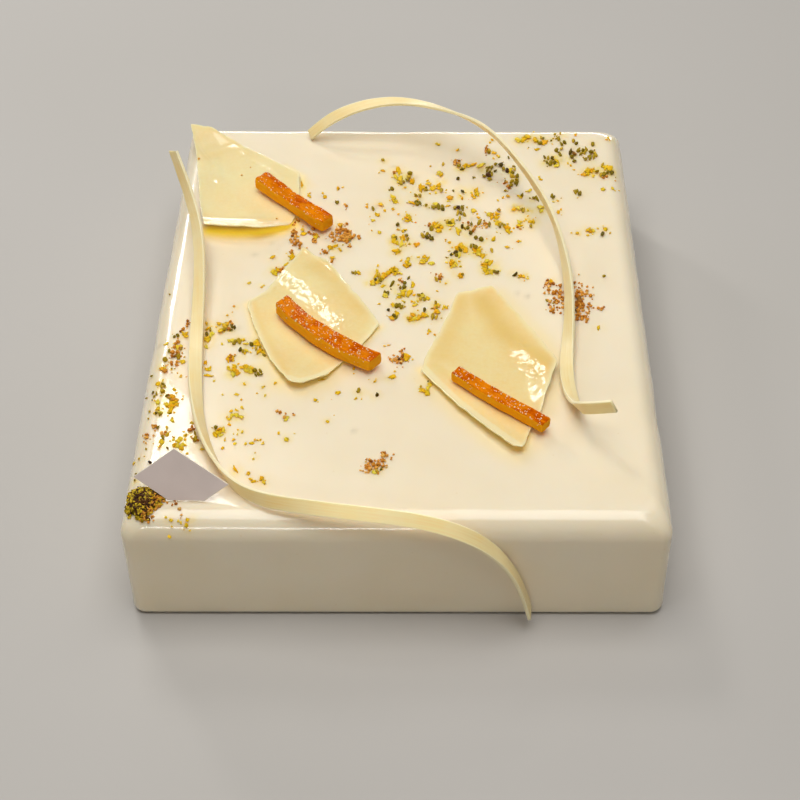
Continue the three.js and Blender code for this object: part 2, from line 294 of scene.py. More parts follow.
def orange_finish():
    f = Finish("candied_orange_peel")
    top = f.attribute("top")
    rim = f.attribute("rim")
    strip = f.attribute("strip", vector=True)
    grain = f.noise(1.0, 4.0, 0.65, vector=f.scaled(strip, (0.28, 0.9, 0.9)), distortion=0.6)
    pith = f.mix(f.span(grain, 0.3, 0.7), display(255, 182, 30), display(254, 160, 14))
    rind = f.ramp(f.span(grain, 0.28, 0.72), [(0.0, display(172, 66, 0)), (0.45, display(202, 90, 0)), (1.0, display(234, 132, 6))])
    body = f.mix(top, pith, rind)
    # painted highlight: lighter along the top edges
    body = f.mix(f.sum(rim, 0.55, "MULTIPLY"), body, display(248, 190, 90))
    haze = f.span(f.cells(0.55), 0.08, 0.2, 1.0, 0.0)
    body = f.mix(f.sum(f.sum(haze, top, "MULTIPLY"), 0.2, "MULTIPLY"), body, display(250, 196, 110))
    f.color(body)
    f.roughness(f.span(f.noise(0.8, 3.0, 0.6), 0.3, 0.7, 0.2, 0.42))
    f.bump(f.noise(0.5, 3.0, 0.6), 0.05, 0.6)
    f.set(Subsurface_Weight=0.3, Subsurface_Radius=(1.0, 0.8, 0.4), Subsurface_Scale=0.0012,
          Coat_Weight=0.12, Coat_Roughness=0.06, Coat_IOR=1.4, IOR=1.4, Specular_IOR_Level=0.0)
    return f.m


def sugar_finish():
    f = Finish("sugar_crystals")
    f.color(f.mix(f.span(f.noise(0.6, 1.0), 0.35, 0.65), display(255, 238, 204), display(250, 216, 160)))
    f.set(Roughness=0.25, Subsurface_Weight=0.5, Subsurface_Radius=(1.0, 0.9, 0.75), Subsurface_Scale=0.0004, IOR=1.54)
    return f.m


def plaque_finish():
    f = Finish("plaque_coating")
    cloud = f.noise(14.0, 2.0, 0.5)
    grain = f.noise(0.45, 2.0, 0.6)
    rim = f.attribute("rim")
    body = f.mix(f.span(cloud, 0.35, 0.65), display(222, 204, 194), display(214, 196, 186))
    body = f.mix(f.span(grain, 0.35, 0.75, 0.0, 0.3), body, display(222, 207, 196))
    body = f.mix(rim, body, display(236, 226, 204))
    f.color(body)
    f.roughness(f.span(grain, 0.3, 0.7, 0.36, 0.46))
    f.bump(grain, 0.012, 0.4)
    f.set(Coat_Weight=0.15, Coat_Roughness=0.2, IOR=1.46)
    return f.m


def bits_finish(name, stops, rough, soft, radius, grain=0.9, spots=None):
    f = Finish(name)
    tint = f.attribute("tint")
    n = f.noise(grain, 3.0, 0.65)
    fac = f.sum(tint, f.span(n, 0.3, 0.7, -0.13, 0.13))
    body = f.ramp(fac, stops)
    if spots:
        body = f.mix(f.span(f.noise(0.5, 2.0, 0.6), 0.58, 0.7, 0.0, 0.7), body, spots)
    f.color(body)
    f.roughness(f.span(n, 0.3, 0.7, rough - 0.08, rough + 0.08))
    f.bump(f.noise(0.35, 3.0, 0.65), 0.06, 0.7)
    f.set(Subsurface_Weight=soft, Subsurface_Radius=radius, Subsurface_Scale=0.0008, IOR=1.38, Specular_IOR_Level=0.15)
    return f.m


# ---------------------------------------------------------------- the glazed cake

def outline_ring(inset, r, corner=6, across=124, along=154):
    """Anticlockwise from the middle of the front left corner; also the outward direction at each point."""
    hx, hy = WIDTH / 2 - inset - r, DEPTH / 2 - inset - r
    pts, out = [], []

    def arc(cx, cy, a0, a1):
        for i in range(corner):
            a = math.radians(a0 + (a1 - a0) * i / corner)
            pts.append((cx + r * math.cos(a), cy + r * math.sin(a)))
            out.append((math.cos(a), math.sin(a)))

    def line(p, q, n, d):
        for i in range(n):
            t = i / n
            pts.append((p[0] + (q[0] - p[0]) * t, p[1] + (q[1] - p[1]) * t))
            out.append(d)

    arc(-hx, -hy, 225, 270)
    line((-hx, -hy - r), (hx, -hy - r), across, (0, -1))
    arc(hx, -hy, 270, 315)
    arc(hx, -hy, 315, 360)
    line((hx + r, -hy), (hx + r, hy), along, (1, 0))
    arc(hx, hy, 0, 45)
    arc(hx, hy, 45, 90)
    line((hx, hy + r), (-hx, hy + r), across, (0, 1))
    arc(-hx, hy, 90, 135)
    arc(-hx, hy, 135, 180)
    line((-hx - r, hy), (-hx - r, -hy), along, (-1, 0))
    arc(-hx, -hy, 180, 225)
    return np.array(pts), np.array(out)


def glaze_height(x, y):
    """Height of the glaze over (x, y), arrays in millimetres."""
    x, y = np.atleast_1d(np.asarray(x, float)), np.atleast_1d(np.asarray(y, float))
    x, y = np.broadcast_arrays(x, y)

    def inside(a):
        inset = TOP_R * (1 - np.cos(a))
        r = CORNER_R + SPREAD * inset
        qx = np.abs(x) - (WIDTH / 2 - inset - r)
        qy = np.abs(y) - (DEPTH / 2 - inset - r)
        return np.hypot(np.maximum(qx, 0), np.maximum(qy, 0)) + np.minimum(np.maximum(qx, qy), 0) - r <= 0

    lo, hi = np.zeros(x.shape), np.full(x.shape, math.pi / 2)
    top = inside(hi)
    for _ in range(26):
        mid = (lo + hi) / 2
        ok = inside(mid)
        lo, hi = np.where(ok, mid, lo), np.where(ok, hi, mid)
    return np.where(top, HEIGHT, HEIGHT - TOP_R * (1 - np.sin(lo)))


surface_wave = Waves(11, 42.0, 9)
surface_fine = Waves(12, 13.0, 9)
side_wave = Waves(13, 30.0, 9)


def top_swell(points):
    return 0.07 * surface_wave(points) + 0.018 * surface_fine(points)


# lines on the glaze below the rims of the shards: the strength of the painted glow (light that comes through the raised
# chocolate, painted into the glaze as a golden tint), its reach in millimetres, and the strength of the emitted glow
# there
GLOW = [
    ([(-75.0, 39.4), (-69.0, 38.6), (-64.0, 38.2), (-56.0, 38.6), (-48.0, 40.6), (-43.5, 44.0)], 0.72, 4.2, 1.0),
    ([(-42.5, 41.0), (-41.0, 55.0), (-40.0, 63.0), (-41.0, 75.0), (-48.5, 81.5)], 0.3, 1.8, 0.25),
    ([(-56.0, -4.0), (-52.0, -20.0), (-46.0, -35.0), (-40.5, -44.5), (-34.0, -47.5), (-27.0, -44.0), (-21.0, -36.5), (-8.0, -16.5)], 0.34, 2.2, 0.22),
    ([(-47.0, -37.0), (-41.0, -47.0), (-34.0, -50.0), (-26.0, -46.5), (-20.0, -38.5)], 0.24, 4.4, 0.0),
    ([(7.6, -39.0), (13.0, -47.5), (21.0, -58.0), (30.5, -69.0), (38.6, -77.5), (42.0, -78.0), (44.5, -71.0)], 0.34, 2.4, 0.22),
    ([(8.0, -43.0), (15.0, -54.0), (24.0, -66.0), (33.0, -77.0), (40.0, -82.0), (44.5, -76.0)], 0.22, 4.4, 0.0),
    ([(36.0, 2.0), (44.0, -11.0), (52.0, -26.0), (57.0, -38.0), (54.0, -48.0), (49.0, -61.0)], 0.2, 4.0, 0.05)]


def cake():
    rings, normals = [], []
    foot = 6
    for i in range(foot + 1):
        a = math.pi / 2 * i / foot
        inset = FOOT_R * (1 - math.sin(a))
        p, o = outline_ring(inset, CORNER_R - SPREAD * inset)
        rings.append(np.c_[p, np.full(len(p), FOOT_R * (1 - math.cos(a)))])
        normals.append(np.c_[o * math.sin(a), np.full(len(p), -math.cos(a))])
    wall = 14
    z0, z1 = FOOT_R, HEIGHT - TOP_R
    for i in range(1, wall):
        p, o = outline_ring(0, CORNER_R)
        rings.append(np.c_[p, np.full(len(p), z0 + (z1 - z0) * i / wall)])
        normals.append(np.c_[o, np.zeros(len(p))])
    crown = 20
    for i in range(crown + 1):
        a = math.pi / 2 * i / crown
        inset = TOP_R * (1 - math.cos(a))
        p, o = outline_ring(inset, CORNER_R + SPREAD * inset)
        rings.append(np.c_[p, np.full(len(p), HEIGHT - TOP_R * (1 - math.sin(a)))])
        normals.append(np.c_[o * math.cos(a), np.full(len(p), math.sin(a))])
    n = len(rings[0])
    V, N = np.concatenate(rings), np.concatenate(normals)
    F = quads(len(rings), n)
    F.append(tuple(reversed(range(n))))
    # the flat top is a grid whose border is the last ring
    nx, ny = 6 + 124 + 6, 6 + 154 + 6
    ring = rings[-1][:, :2]
    first = (len(rings) - 1) * n
    front = [k for k in range(nx + 1)]
    right = [nx + k for k in range(ny + 1)]
    back = [2 * nx + ny - k for k in range(nx + 1)]
    left = [(2 * (nx + ny) - k) % n for k in range(ny + 1)]
    c0, c1, d0, d1 = ring[front], ring[back], ring[left], ring[right]
    u = ((c0[:, 0] - c0[0, 0]) / (c0[-1, 0] - c0[0, 0]))[None, :, None]
    v = ((d0[:, 1] - d0[0, 1]) / (d0[-1, 1] - d0[0, 1]))[:, None, None]
    grid = ((1 - v) * c0[None] + v * c1[None] + (1 - u) * d0[:, None] + u * d1[:, None]
            - ((1 - u) * (1 - v) * c0[0] + u * (1 - v) * c0[-1] + (1 - u) * v * c1[0] + u * v * c1[-1]))
    index = -np.ones((ny + 1, nx + 1), int)
    index[0], index[-1] = first + np.array(front), first + np.array(back)
    index[:, 0], index[:, -1] = first + np.array(left), first + np.array(right)
    inner = grid[1:-1, 1:-1].reshape(-1, 2)
    index[1:-1, 1:-1] = len(V) + np.arange(len(inner)).reshape(ny - 1, nx - 1)
    V = np.concatenate([V, np.c_[inner, np.full(len(inner), HEIGHT)]])
    N = np.concatenate([N, np.tile([[0.0, 0.0, 1.0]], (len(inner), 1))])
    for j in range(ny):
        for i in range(nx):
            F.append((int(index[j, i]), int(index[j, i + 1]), int(index[j + 1, i + 1]), int(index[j + 1, i])))
    # the poured glaze: a slow swell on top, and walls that wander inwards a little
    up = np.clip(N[:, 2], 0, 1)
    flank = np.hypot(N[:, 0], N[:, 1]) * smooth(0.5, 6.0, V[:, 2])
    inward = -np.clip(0.14 + 0.13 * side_wave(V * np.array([1, 1, 0.5])), 0, 0.5) * flank
    V = V + N * (inward + up * top_swell(V))[:, None]
    V[:, 2] = np.maximum(V[:, 2], 0.0)
    # a faint yellow bleed into the glaze round the zest
    stain = np.zeros(len(V))
    r = np.random.default_rng(31)
    for (x, y, a, b, turn) in ZEST + PISTACHIO[::2]:
        if r.random() < 0.75:
            q = (V[:, 0] - x - r.normal() * 0.5) ** 2 + (V[:, 1] - y - r.normal() * 0.5) ** 2
            stain += r.uniform(0.15, 0.5) * np.exp(-q / (0.9 + 0.6 * a) ** 2) * (V[:, 2] > 30)
    stain = np.clip(stain * (1 + 0.5 * Waves(32, 2.6)(V)), 0, 0.8)
    # grains that sank under the glaze and show as soft grey spots
    sunk = np.zeros(len(V))
    for _ in range(46):
        x, y, a, b, turn = PISTACHIO[int(r.integers(len(PISTACHIO)))]
        x, y = (x + r.normal() * 6, y + r.normal() * 6) if r.random() < 0.7 else (r.uniform(-60, 60), r.uniform(-70, 95))
        q = ((V[:, 0] - x) / r.uniform(0.9, 1.6)) ** 2 + ((V[:, 1] - y) / r.uniform(0.9, 1.6)) ** 2
        sunk = np.maximum(sunk, r.uniform(0.12, 0.42) * np.exp(-q) * (V[:, 2] > 40))
    # painted light: the golden light that comes through the raised chocolate rims, painted into the glaze below them as
    # a tint (glow) and as emission (lit)
    glow, lit = np.zeros(len(V)), np.zeros(len(V))
    for line, strength, reach, through in GLOW:
        near = np.full(len(V), 1e9)
        for p, q in zip(line[:-1], line[1:]):
            p, q = np.array(p), np.array(q)
            d = q - p
            t = np.clip(((V[:, :2] - p) @ d) / (d @ d), 0, 1)
            near = np.minimum(near, np.linalg.norm(V[:, :2] - p - t[:, None] * d, axis=1))
        glow = np.maximum(glow, strength * np.exp(-(near / reach) ** 2))
        lit = np.maximum(lit, through * np.exp(-(near / (0.6 * reach)) ** 2))
    glow *= V[:, 2] > 40
    lit *= V[:, 2] > 40
    make("glazed_cake", V, F, glaze_finish(), ["cake_body"], {"stain": stain, "glow": glow, "lit": lit, "sunk": sunk})


# ---------------------------------------------------------------- shards of white chocolate

def off_line(x, y, line):
    """Distance to a broken line, positive to the left of its run."""
    best, sign = np.full(x.shape, 1e9), np.ones(x.shape)
    for (px, py), (qx, qy) in zip(line[:-1], line[1:]):
        dx, dy = qx - px, qy - py
        t = np.clip(((x - px) * dx + (y - py) * dy) / (dx * dx + dy * dy), 0, 1)
        d = np.hypot(x - px - t * dx, y - py - t * dy)
        left = np.where(dx * (y - py) - dy * (x - px) >= 0, 1.0, -1.0)
        best, sign = np.where(d < best, d, best), np.where(d < best, left, sign)
    return best * sign


def shard(name, node, centre, corners, seed, relief, folds, finish, swells=(), lit_lips=(), shade_lines=(), pale=0.0, rise=None):
    """A curled sheet: flat in the middle, its rim raised. relief: rippled spots; folds: creases whose far side tilts."""
    C = np.array(corners, float)
    pts = []
    for i in range(len(C)):
        p, q = C[i], C[(i + 1) % len(C)]
        n = max(2, round(np.linalg.norm(q[:2] - p[:2]) / 0.58))
        for k in range(n):
            pts.append(p + (q - p) * k / n)
    P = np.array(pts)
    for _ in range(2):
        P = 0.25 * np.roll(P, 1, 0) + 0.5 * P + 0.25 * np.roll(P, -1, 0)
    tangent = np.roll(P, -1, 0)[:, :2] - np.roll(P, 1, 0)[:, :2]
    tangent /= np.linalg.norm(tangent, axis=1)[:, None]
    outward = np.c_[tangent[:, 1], -tangent[:, 0]]
    area = 0.5 * np.sum(P[:, 0] * np.roll(P[:, 1], -1) - np.roll(P[:, 0], -1) * P[:, 1])
    if area < 0:
        P, outward = P[::-1].copy(), -outward[::-1]
    E = np.c_[P[:, :2], np.zeros(len(P))]
    ragged = 0.10 * Waves(seed, 4.5)(E) + 0.05 * Waves(seed + 1, 1.7)(E)
    chips = -0.5 * np.maximum(Waves(seed + 2, 7.0)(E) - 1.15, 0)
    P[:, :2] += outward * (ragged + chips)[:, None]
    base = HEIGHT + 0.3 + SHEET / 2
    rim_z = np.maximum(HEIGHT + P[:, 2] - SHEET / 2, base)
    c = np.array(centre, float)
    n = len(P)
    s = np.concatenate([np.linspace(0.02, 0.93, 46), [0.945, 0.96, 0.973, 0.985, 0.995]])
    reach = np.linalg.norm(P[:, :2] - c, axis=1)
    XY = c + (P[None, :, :2] - c) * s[:, None, None]
    Z = base + (rim_z - base)[None] * s[:, None] ** (rise(P)[None] if rise else 4)
    flat = np.concatenate([XY, np.zeros((*XY.shape[:2], 1))], 2).reshape(-1, 3)
    lift = np.zeros(len(flat))
    for (cx, cy, rx, ry, turn, size, wave, ridge) in relief:
        a = math.radians(turn)
        dx, dy = flat[:, 0] - cx, flat[:, 1] - cy
        u, v = dx * math.cos(a) + dy * math.sin(a), -dx * math.sin(a) + dy * math.cos(a)
        mask = np.exp(-((u / rx) ** 2 + (v / ry) ** 2))
        w = Waves(seed + 20 + int(abs(cx * 3 + cy)), wave, 14)(flat)
        lift += mask * size * ((1.0 - 2.2 * np.abs(w)) if ridge else w)
    lift += 0.035 * Waves(seed + 5, 9.0)(flat) + 0.012 * Waves(seed + 6, 3.0)(flat)
    for (px, py, qx, qy, slope, width) in folds:
        d = np.array([qx - px, qy - py])
        d /= np.linalg.norm(d)
        side = (flat[:, 0] - px) * d[1] - (flat[:, 1] - py) * d[0]      # positive to the right of p to q
        lift += slope * (np.sqrt(side ** 2 + width ** 2) + side) / 2
    for line, tall, before, after in swells:
        d = off_line(flat[:, 0], flat[:, 1], line)
        lift += tall * (1 - smooth(0, 1, np.where(d < 0, -d / before, d / after)))
    lift = lift.reshape(Z.shape)
    hold = smooth(0.0, 0.25, s)[:, None]
    mid = np.maximum(Z + lift * hold, base - 0.05)
    edge_d = reach[None] * (1 - s[:, None])
    thick = SHEET * (0.62 + 0.38 * smooth(0.0, 3.0, edge_d)) * (1 + 0.05 * Waves(seed + 8, 8.0)(flat).reshape(Z.shape))
    rows = []
    under = np.concatenate([XY, (mid - thick / 2)[..., None]], 2)
    over = np.concatenate([XY, (mid + thick / 2)[..., None]], 2)
    lipxy = c + (P[:, :2] - c) * 1.0
    last = mid[-1]
    t = thick[-1]
    lip_lo = np.c_[lipxy + outward * 0.0, last - t * 0.28]
    lip_hi = np.c_[lipxy + outward * 0.0, last + t * 0.28]
    V = np.concatenate([under.reshape(-1, 3), lip_lo, lip_hi, over[::-1].reshape(-1, 3)])
    rings = 2 * len(s) + 2
    F = quads(rings, n)
    lo_c, hi_c = len(V), len(V) + 1
    V = np.concatenate([V, [[c[0], c[1], base - SHEET / 2], [c[0], c[1], base + SHEET / 2]]])
    top0 = (rings - 1) * n
    for j in range(n):
        F.append((j, lo_c, (j + 1) % n))
        F.append((top0 + j, top0 + (j + 1) % n, hi_c))
    d_rows = np.concatenate([edge_d, np.zeros((2, n)), edge_d[::-1]]).ravel()
    # rim: paler towards the edges, partly thinner chocolate and partly painted light through the thin edges; lit_lips:
    # painted light on the raised lips; pale lightens the whole sheet
    rim = np.exp(-((np.concatenate([d_rows, [30.0, 30.0]]) / 1.5) ** 2))
    for line, wide in lit_lips:
        rim = np.maximum(rim, smooth(-wide - 0.5, -wide + 0.3, -np.abs(off_line(V[:, 0], V[:, 1], line))))
    rim = np.maximum(rim, pale)
    # painted shade: darker bands along the given lines
    painted_shade = np.zeros(len(V))
    for line, wide, strength in shade_lines:
        painted_shade = np.maximum(painted_shade, strength * np.exp(-(off_line(V[:, 0], V[:, 1], line) / wide) ** 2))
    make(name, V, F, finish, [node], {"rim": rim, "painted_shade": painted_shade})
    # height of the upper face over a point, for what lies on it
    top_z = (mid + thick / 2)
    cloud = np.c_[XY.reshape(-1, 2), top_z.ravel()]

    def top(x, y):
        k = np.argmin((cloud[:, 0] - x) ** 2 + (cloud[:, 1] - y) ** 2)
        return cloud[k, 2]
    return top


SHARD_BACK_LEFT = [
    [-88.0, 101.0, 1.5], [-79.5, 101.5, 1.5], [-69.5, 96.2, 2.2], [-59.8, 89.2, 1.8], [-49.3, 80.5, 2.0], [-42.0, 75.5, 1.7],
    [-41.3, 62.9, 1.5], [-42.1, 46.8, 1.6], [-43.8, 40.2, 1.8], [-53.8, 35.0, 2.6], [-65.5, 35.3, 2.8], [-76.3, 37.8, 2.4],
    [-79.9, 54.9, 2.0], [-83.0, 76.1, 1.6], [-84.3, 85.0, 2.0], [-85.4, 90.3, 2.2]]
SHARD_CENTRE = [
    [-37.8, 28.2, 2.0], [-32.9, 22.8, 1.6], [-28.1, 20.6, 1.4], [-22.4, 10.5, 1.4], [-14.4, -2.7, 1.6], [-7.6, -16.2, 2.0],
    [-13.0, -25.9, 1.4], [-20.5, -36.4, 1.6], [-25.4, -44.1, 2.8], [-34.0, -49.4, 3.9], [-38.2, -48.3, 3.8], [-41.4, -43.5, 3.2],
    [-45.5, -36.5, 2.6], [-50.9, -23.5, 2.0], [-56.4, -6.1, 1.5], [-55.8, -3.2, 1.5], [-50.6, 2.1, 1.4], [-47.0, 9.1, 1.4],
    [-42.6, 17.4, 1.5], [-39.5, 23.8, 1.8]]
SHARD_RIGHT = [
    [20.3, 0.9, 2.0], [33.5, 4.7, 2.6], [39.7, -6.3, 2.8], [48.1, -21.8, 3.2], [55.4, -37.7, 4.0], [48.5, -61.0, 1.6],
    [44.3, -71.6, 2.2], [41.7, -80.0, 3.7], [38.3, -79.5, 3.8], [29.8, -70.6, 3.6], [20.3, -59.8, 3.2], [12.6, -49.0, 2.6],
    [7.4, -40.9, 2.0], [9.9, -30.2, 1.5], [13.8, -20.5, 1.5], [17.8, -8.7, 1.7]]


def shards():
    finish = sheet_finish()
    tops = {}
    tops["back_left"] = shard("shard_back_left_sheet", "shard_back_left", (-63.0, 62.0), SHARD_BACK_LEFT, 101,
                              [(-77.0, 77.0, 2.2, 8.0, 0, 0.08, 5.0, False), (-52.0, 78.0, 3.0, 9.0, 45, 0.05, 6.0, False)],
                              [(-69.6, 95.6, -81.1, 88.0, 0.42, 1.2), (-77.3, 45.4, -40.8, 43.4, 0.36, 2.0)], finish,
                              pale=0.45,
                              swells=[([(-76.2, 84.0), (-75.0, 71.0)], 0.36, 2.4, 3.4), ([(-66.0, 90.0), (-59.5, 84.2), (-46.9, 71.8)], 0.12, 2.6, 2.2)],
                              lit_lips=[([(-76.3, 37.8), (-65.5, 35.3), (-53.8, 35.0), (-43.8, 40.2)], 3.0)],
                              shade_lines=[([(-80.0, 86.0), (-71.0, 92.0)], 3.0, 0.45), ([(-77.0, 47.5), (-59.0, 45.0), (-42.0, 46.5)], 2.4, 0.25)])
    tops["centre"] = shard("shard_centre_sheet", "shard_centre", (-32.0, -12.0), SHARD_CENTRE, 202,
                           [(-40.5, 8.0, 7.5, 4.5, -50, 0.066, 3.9, True), (-31.0, -5.0, 8.5, 4.5, -50, 0.072, 4.1, True),
                            (-21.0, -15.0, 5.0, 3.4, -45, 0.06, 3.9, True)],
                           [], finish,
                           swells=[([(-45.5, 17.5), (-36.8, 10.2), (-27.4, -3.0), (-19.8, -13.2)], 0.85, 9.5, 10.0),
                                   ([(-36.2, 25.5), (-28.3, 18.4), (-17.3, 5.0), (-10.8, -4.7)], 0.22, 1.8, 1.8)],
                           lit_lips=[([(-38.9, -47.4), (-34.6, -49.4), (-27.8, -46.4), (-21.1, -40.2)], 2.2)],
                           shade_lines=[([(-32.0, 17.0), (-22.0, 4.0), (-14.0, -9.0)], 4.0, 0.4), ([(-55.0, -4.0), (-49.8, -20.3), (-44.3, -32.0), (-40.1, -42.4)], 1.6, 0.3)])
    tops["right"] = shard("shard_right_sheet", "shard_right", (32.0, -32.0), SHARD_RIGHT, 303,
                          [(43.0, -40.0, 8.5, 5.0, -45, 0.10, 5.0, False), (48.5, -46.5, 4.5, 6.0, 0, 0.10, 4.2, False), (45.5, -42.0, 5.0, 8.5, 15, 0.05, 2.6, True),
                           (20.5, -19.5, 2.6, 2.2, 0, 0.12, 3.4, False)],
                          [], finish, rise=lambda P: 4 - 2.0 * smooth(-54, -42, P[:, 1]) * smooth(26, 34, P[:, 0]),
                          swells=[([(45.0, -31.5), (51.5, -42.0), (50.5, -54.0)], 0.85, 8.5, 5.0)],
                          lit_lips=[([(7.4, -40.9), (12.6, -49.0), (20.3, -59.8), (29.8, -70.6), (38.3, -79.5)], 2.7)],
                          shade_lines=[([(29.5, -3.4), (35.7, -17.3), (42.6, -28.0), (51.0, -38.5)], 5.0, 0.75), ([(22.0, -4.0), (14.0, -32.0)], 5.0, 0.45),
                                 ([(12.0, -38.0), (29.0, -56.0), (42.0, -70.0)], 2.2, 0.3)])
    return tops


# ---------------------------------------------------------------- ribbons

class Spline:
    """Natural cubic spline."""

    def __init__(self, knots, values):
        k, v = np.array(knots, float), np.array(values, float)
        n = len(k)
        A, b = np.eye(n), np.zeros(n)
        for i in range(1, n - 1):
            h0, h1 = k[i] - k[i - 1], k[i + 1] - k[i]
            A[i, i - 1], A[i, i], A[i, i + 1] = h0, 2 * (h0 + h1), h1
            b[i] = 6 * ((v[i + 1] - v[i]) / h1 - (v[i] - v[i - 1]) / h0)
        self.k, self.v, self.m = k, v, np.linalg.solve(A, b)

    def __call__(self, x):
        x = np.asarray(x, float)
        i = np.clip(np.searchsorted(self.k, x, side="right") - 1, 0, len(self.k) - 2)
        h = self.k[i + 1] - self.k[i]
        a, b = (self.k[i + 1] - x) / h, (x - self.k[i]) / h
        return a * self.v[i] + b * self.v[i + 1] + ((a ** 3 - a) * self.m[i] + (b ** 3 - b) * self.m[i + 1]) * h * h / 6


RIBBON_LEFT = [
    [-88.8, 61.4, 66.9, 21], [-81.9, 44.5, 58.7, 32], [-75.3, 15.6, 55.4, 50], [-73.4, -10.0, 50.4, 67], [-72.0, -36.2, 48.0, 95],
    [-68.5, -62.4, 47.7, 136], [-60.5, -85.9, 48.2, 157], [-49.6, -100.4, 48.4, 187], [-31.2, -108.1, 49.8, 221],
    [-11.1, -112.3, 50.8, 221], [9.7, -114.4, 48.6, 219], [24.4, -115.4, 42.3, 240], [38.0, -115.6, 25.3, 267], [44.1, -116.7, 6.4, 277]]
RIBBON_ARC = [
    [-39.1, 101.1, 46.9, 60], [-31.2, 101.0, 54.1, 65], [-6.1, 103.5, 61.7, 86], [15.3, 95.4, 63.5, 117], [29.4, 85.7, 63.3, 146],
    [42.4, 68.0, 61.3, 160], [51.0, 52.8, 57.5, 172], [58.2, 31.1, 54.2, 180], [60.9, 15.3, 50.2, 199], [61.3, -6.7, 48.8, 216],
    [59.6, -27.9, 47.4, 236], [58.5, -46.8, 47.0, 277], [60.7, -62.5, 50.1, 319], [62.0, -66.9, 53.6, 340], [71.3, -74.7, 62.0, 356]]


def ribbon(name, node, stations, steps, seed, finish, start_slant=0.0, end_slant=0.0):
    S = np.array(stations, float)
    knots = np.concatenate([[0], np.cumsum(np.linalg.norm(np.diff(S[:, :3], axis=0), axis=1))])
    f = [Spline(knots, S[:, j]) for j in range(4)]
    L = knots[-1]
    s = np.linspace(0, L, steps + 1)
    at = lambda q: np.stack([f[0](q), f[1](q), f[2](q)], 1)
    P = at(s)
    e = L * 1e-3
    T = at(np.minimum(L, s + e)) - at(np.maximum(0, s - e))
    T /= np.linalg.norm(T, axis=1)[:, None]
    side = np.cross(T, [0, 0, 1.0])
    side /= np.linalg.norm(side, axis=1)[:, None]
    up = np.cross(side, T)
    roll = np.radians(f[3](s))[:, None]
    face = side * np.cos(roll) + up * np.sin(roll)
    across = -side * np.sin(roll) + up * np.cos(roll)
    # the section: a thin oblong with small round arrises
    w, t, b = RIBBON_W / 2, RIBBON_T / 2, 0.2
    section = []
    for (cx, cy, a0) in ((w - b, -t + b, -90), (w - b, t - b, 0), (-w + b, t - b, 90), (-w + b, -t + b, 180)):
        for k in range(4):
            a = math.radians(a0 + 90 * k / 3)
            section.append((cx + b * math.cos(a), cy + b * math.sin(a)))
        if a0 in (0, 180):                # points across the broad faces
            sgn = 1 if a0 == 0 else -1
            for q in (0.9, 0.6, 0.2, -0.2, -0.6, -0.9):
                section.append((sgn * q * (w - b), sgn * t))
    A = np.array(section)
    line = np.c_[s, np.zeros((len(s), 2))]
    narrow = 1 - 0.012 * (1 + Waves(seed, 11.0)(line))
    thin = 1 - 0.035 * (1 + Waves(seed + 1, 8.0)(line))
    wander = 0.03 * Waves(seed + 2, 6.0)(line)
    a = A[None, :, 0] * narrow[:, None] * 0.985 + wander[:, None] * (1 - np.abs(A[None, :, 0]) / w)
    a = a * (1 - 0.045 * np.exp(-s / 2.5))[:, None]
    th = A[None, :, 1] * thin[:, None] * 0.97
    # fine grooves that the comb leaves along the strip
    groove = 0.012 * np.sin(A[None, :, 0] * 5.3 + 0.4 * np.sin(s / 17.0)[:, None])
    th = th - np.sign(A[None, :, 1]) * np.abs(groove) * (np.abs(A[None, :, 0]) < w - b)
    slant = np.zeros(len(s))
    slant[0], slant[-1] = start_slant, end_slant
    ramp0 = np.exp(-s / 0.8) * start_slant + np.exp(-(L - s) / 0.8) * end_slant
    V = (P[:, None] + across[:, None] * a[..., None] + face[:, None] * th[..., None]
         + T[:, None] * (ramp0[:, None] * A[None, :, 0] / w)[..., None])
    n = len(A)
    V = V.reshape(-1, 3)
    F = quads(len(s), n)
    # the section runs anticlockwise about across x face; turn the faces if that points back along the strip
    if np.dot(np.cross(across[0], face[0]), T[0]) < 0:
        F = [tuple(reversed(q)) for q in F]
        flip = True
    else:
        flip = False
    c0, c1 = len(V), len(V) + 1
    V = np.concatenate([V, [V[:n].mean(0), V[-n:].mean(0)]])
    m = (len(s) - 1) * n
    for j in range(n):
        k = (j + 1) % n
        f0, f1 = (j, c0, k), (m + j, m + k, c1)
        F += [tuple(reversed(f0)), tuple(reversed(f1))] if flip else [f0, f1]
    strip = np.zeros((len(V), 3))
    strip[:-2, 0] = np.repeat(s, n)
    strip[:-2, 1] = np.tile(A[:, 0], len(s))
    strip[:-2, 2] = np.tile(A[:, 1], len(s))
    strip[-1, 0] = L
    # painted highlight along the arrises of the strip
    rim = np.zeros(len(V))
    rim[:-2] = np.tile(smooth(w - 0.45, w - 0.02, np.abs(A[:, 0])), len(s))
    # the front run is lit through from behind
    lit = smooth(-34, -14, V[:, 0]) * (1 - smooth(8, 28, V[:, 0])) * (V[:, 1] < -95)
    return make(name, V, F, finish, [node], {"strip": strip, "rim": rim, "lit": lit})


# ---------------------------------------------------------------- candied orange

STICKS = [
    dict(name="orange_back_left", node="orange_stick_back_left", start=(-56.4, 65.8), end=(-29.0, 39.1), width=6.7, height=4.8, bow=0.3, tilt=-1.2, phase=0.4),
    dict(name="orange_centre", node="orange_stick_centre", start=(-43.2, -9.4), end=(-8.6, -39.5), width=7.0, height=5.3, bow=3.0, tilt=-0.9, phase=2.0),
    dict(name="orange_right", node="orange_stick_right", start=(19.4, -45.5), end=(49.7, -70.7), width=5.2, height=3.8, bow=0.4, tilt=-0.4, phase=4.1)]


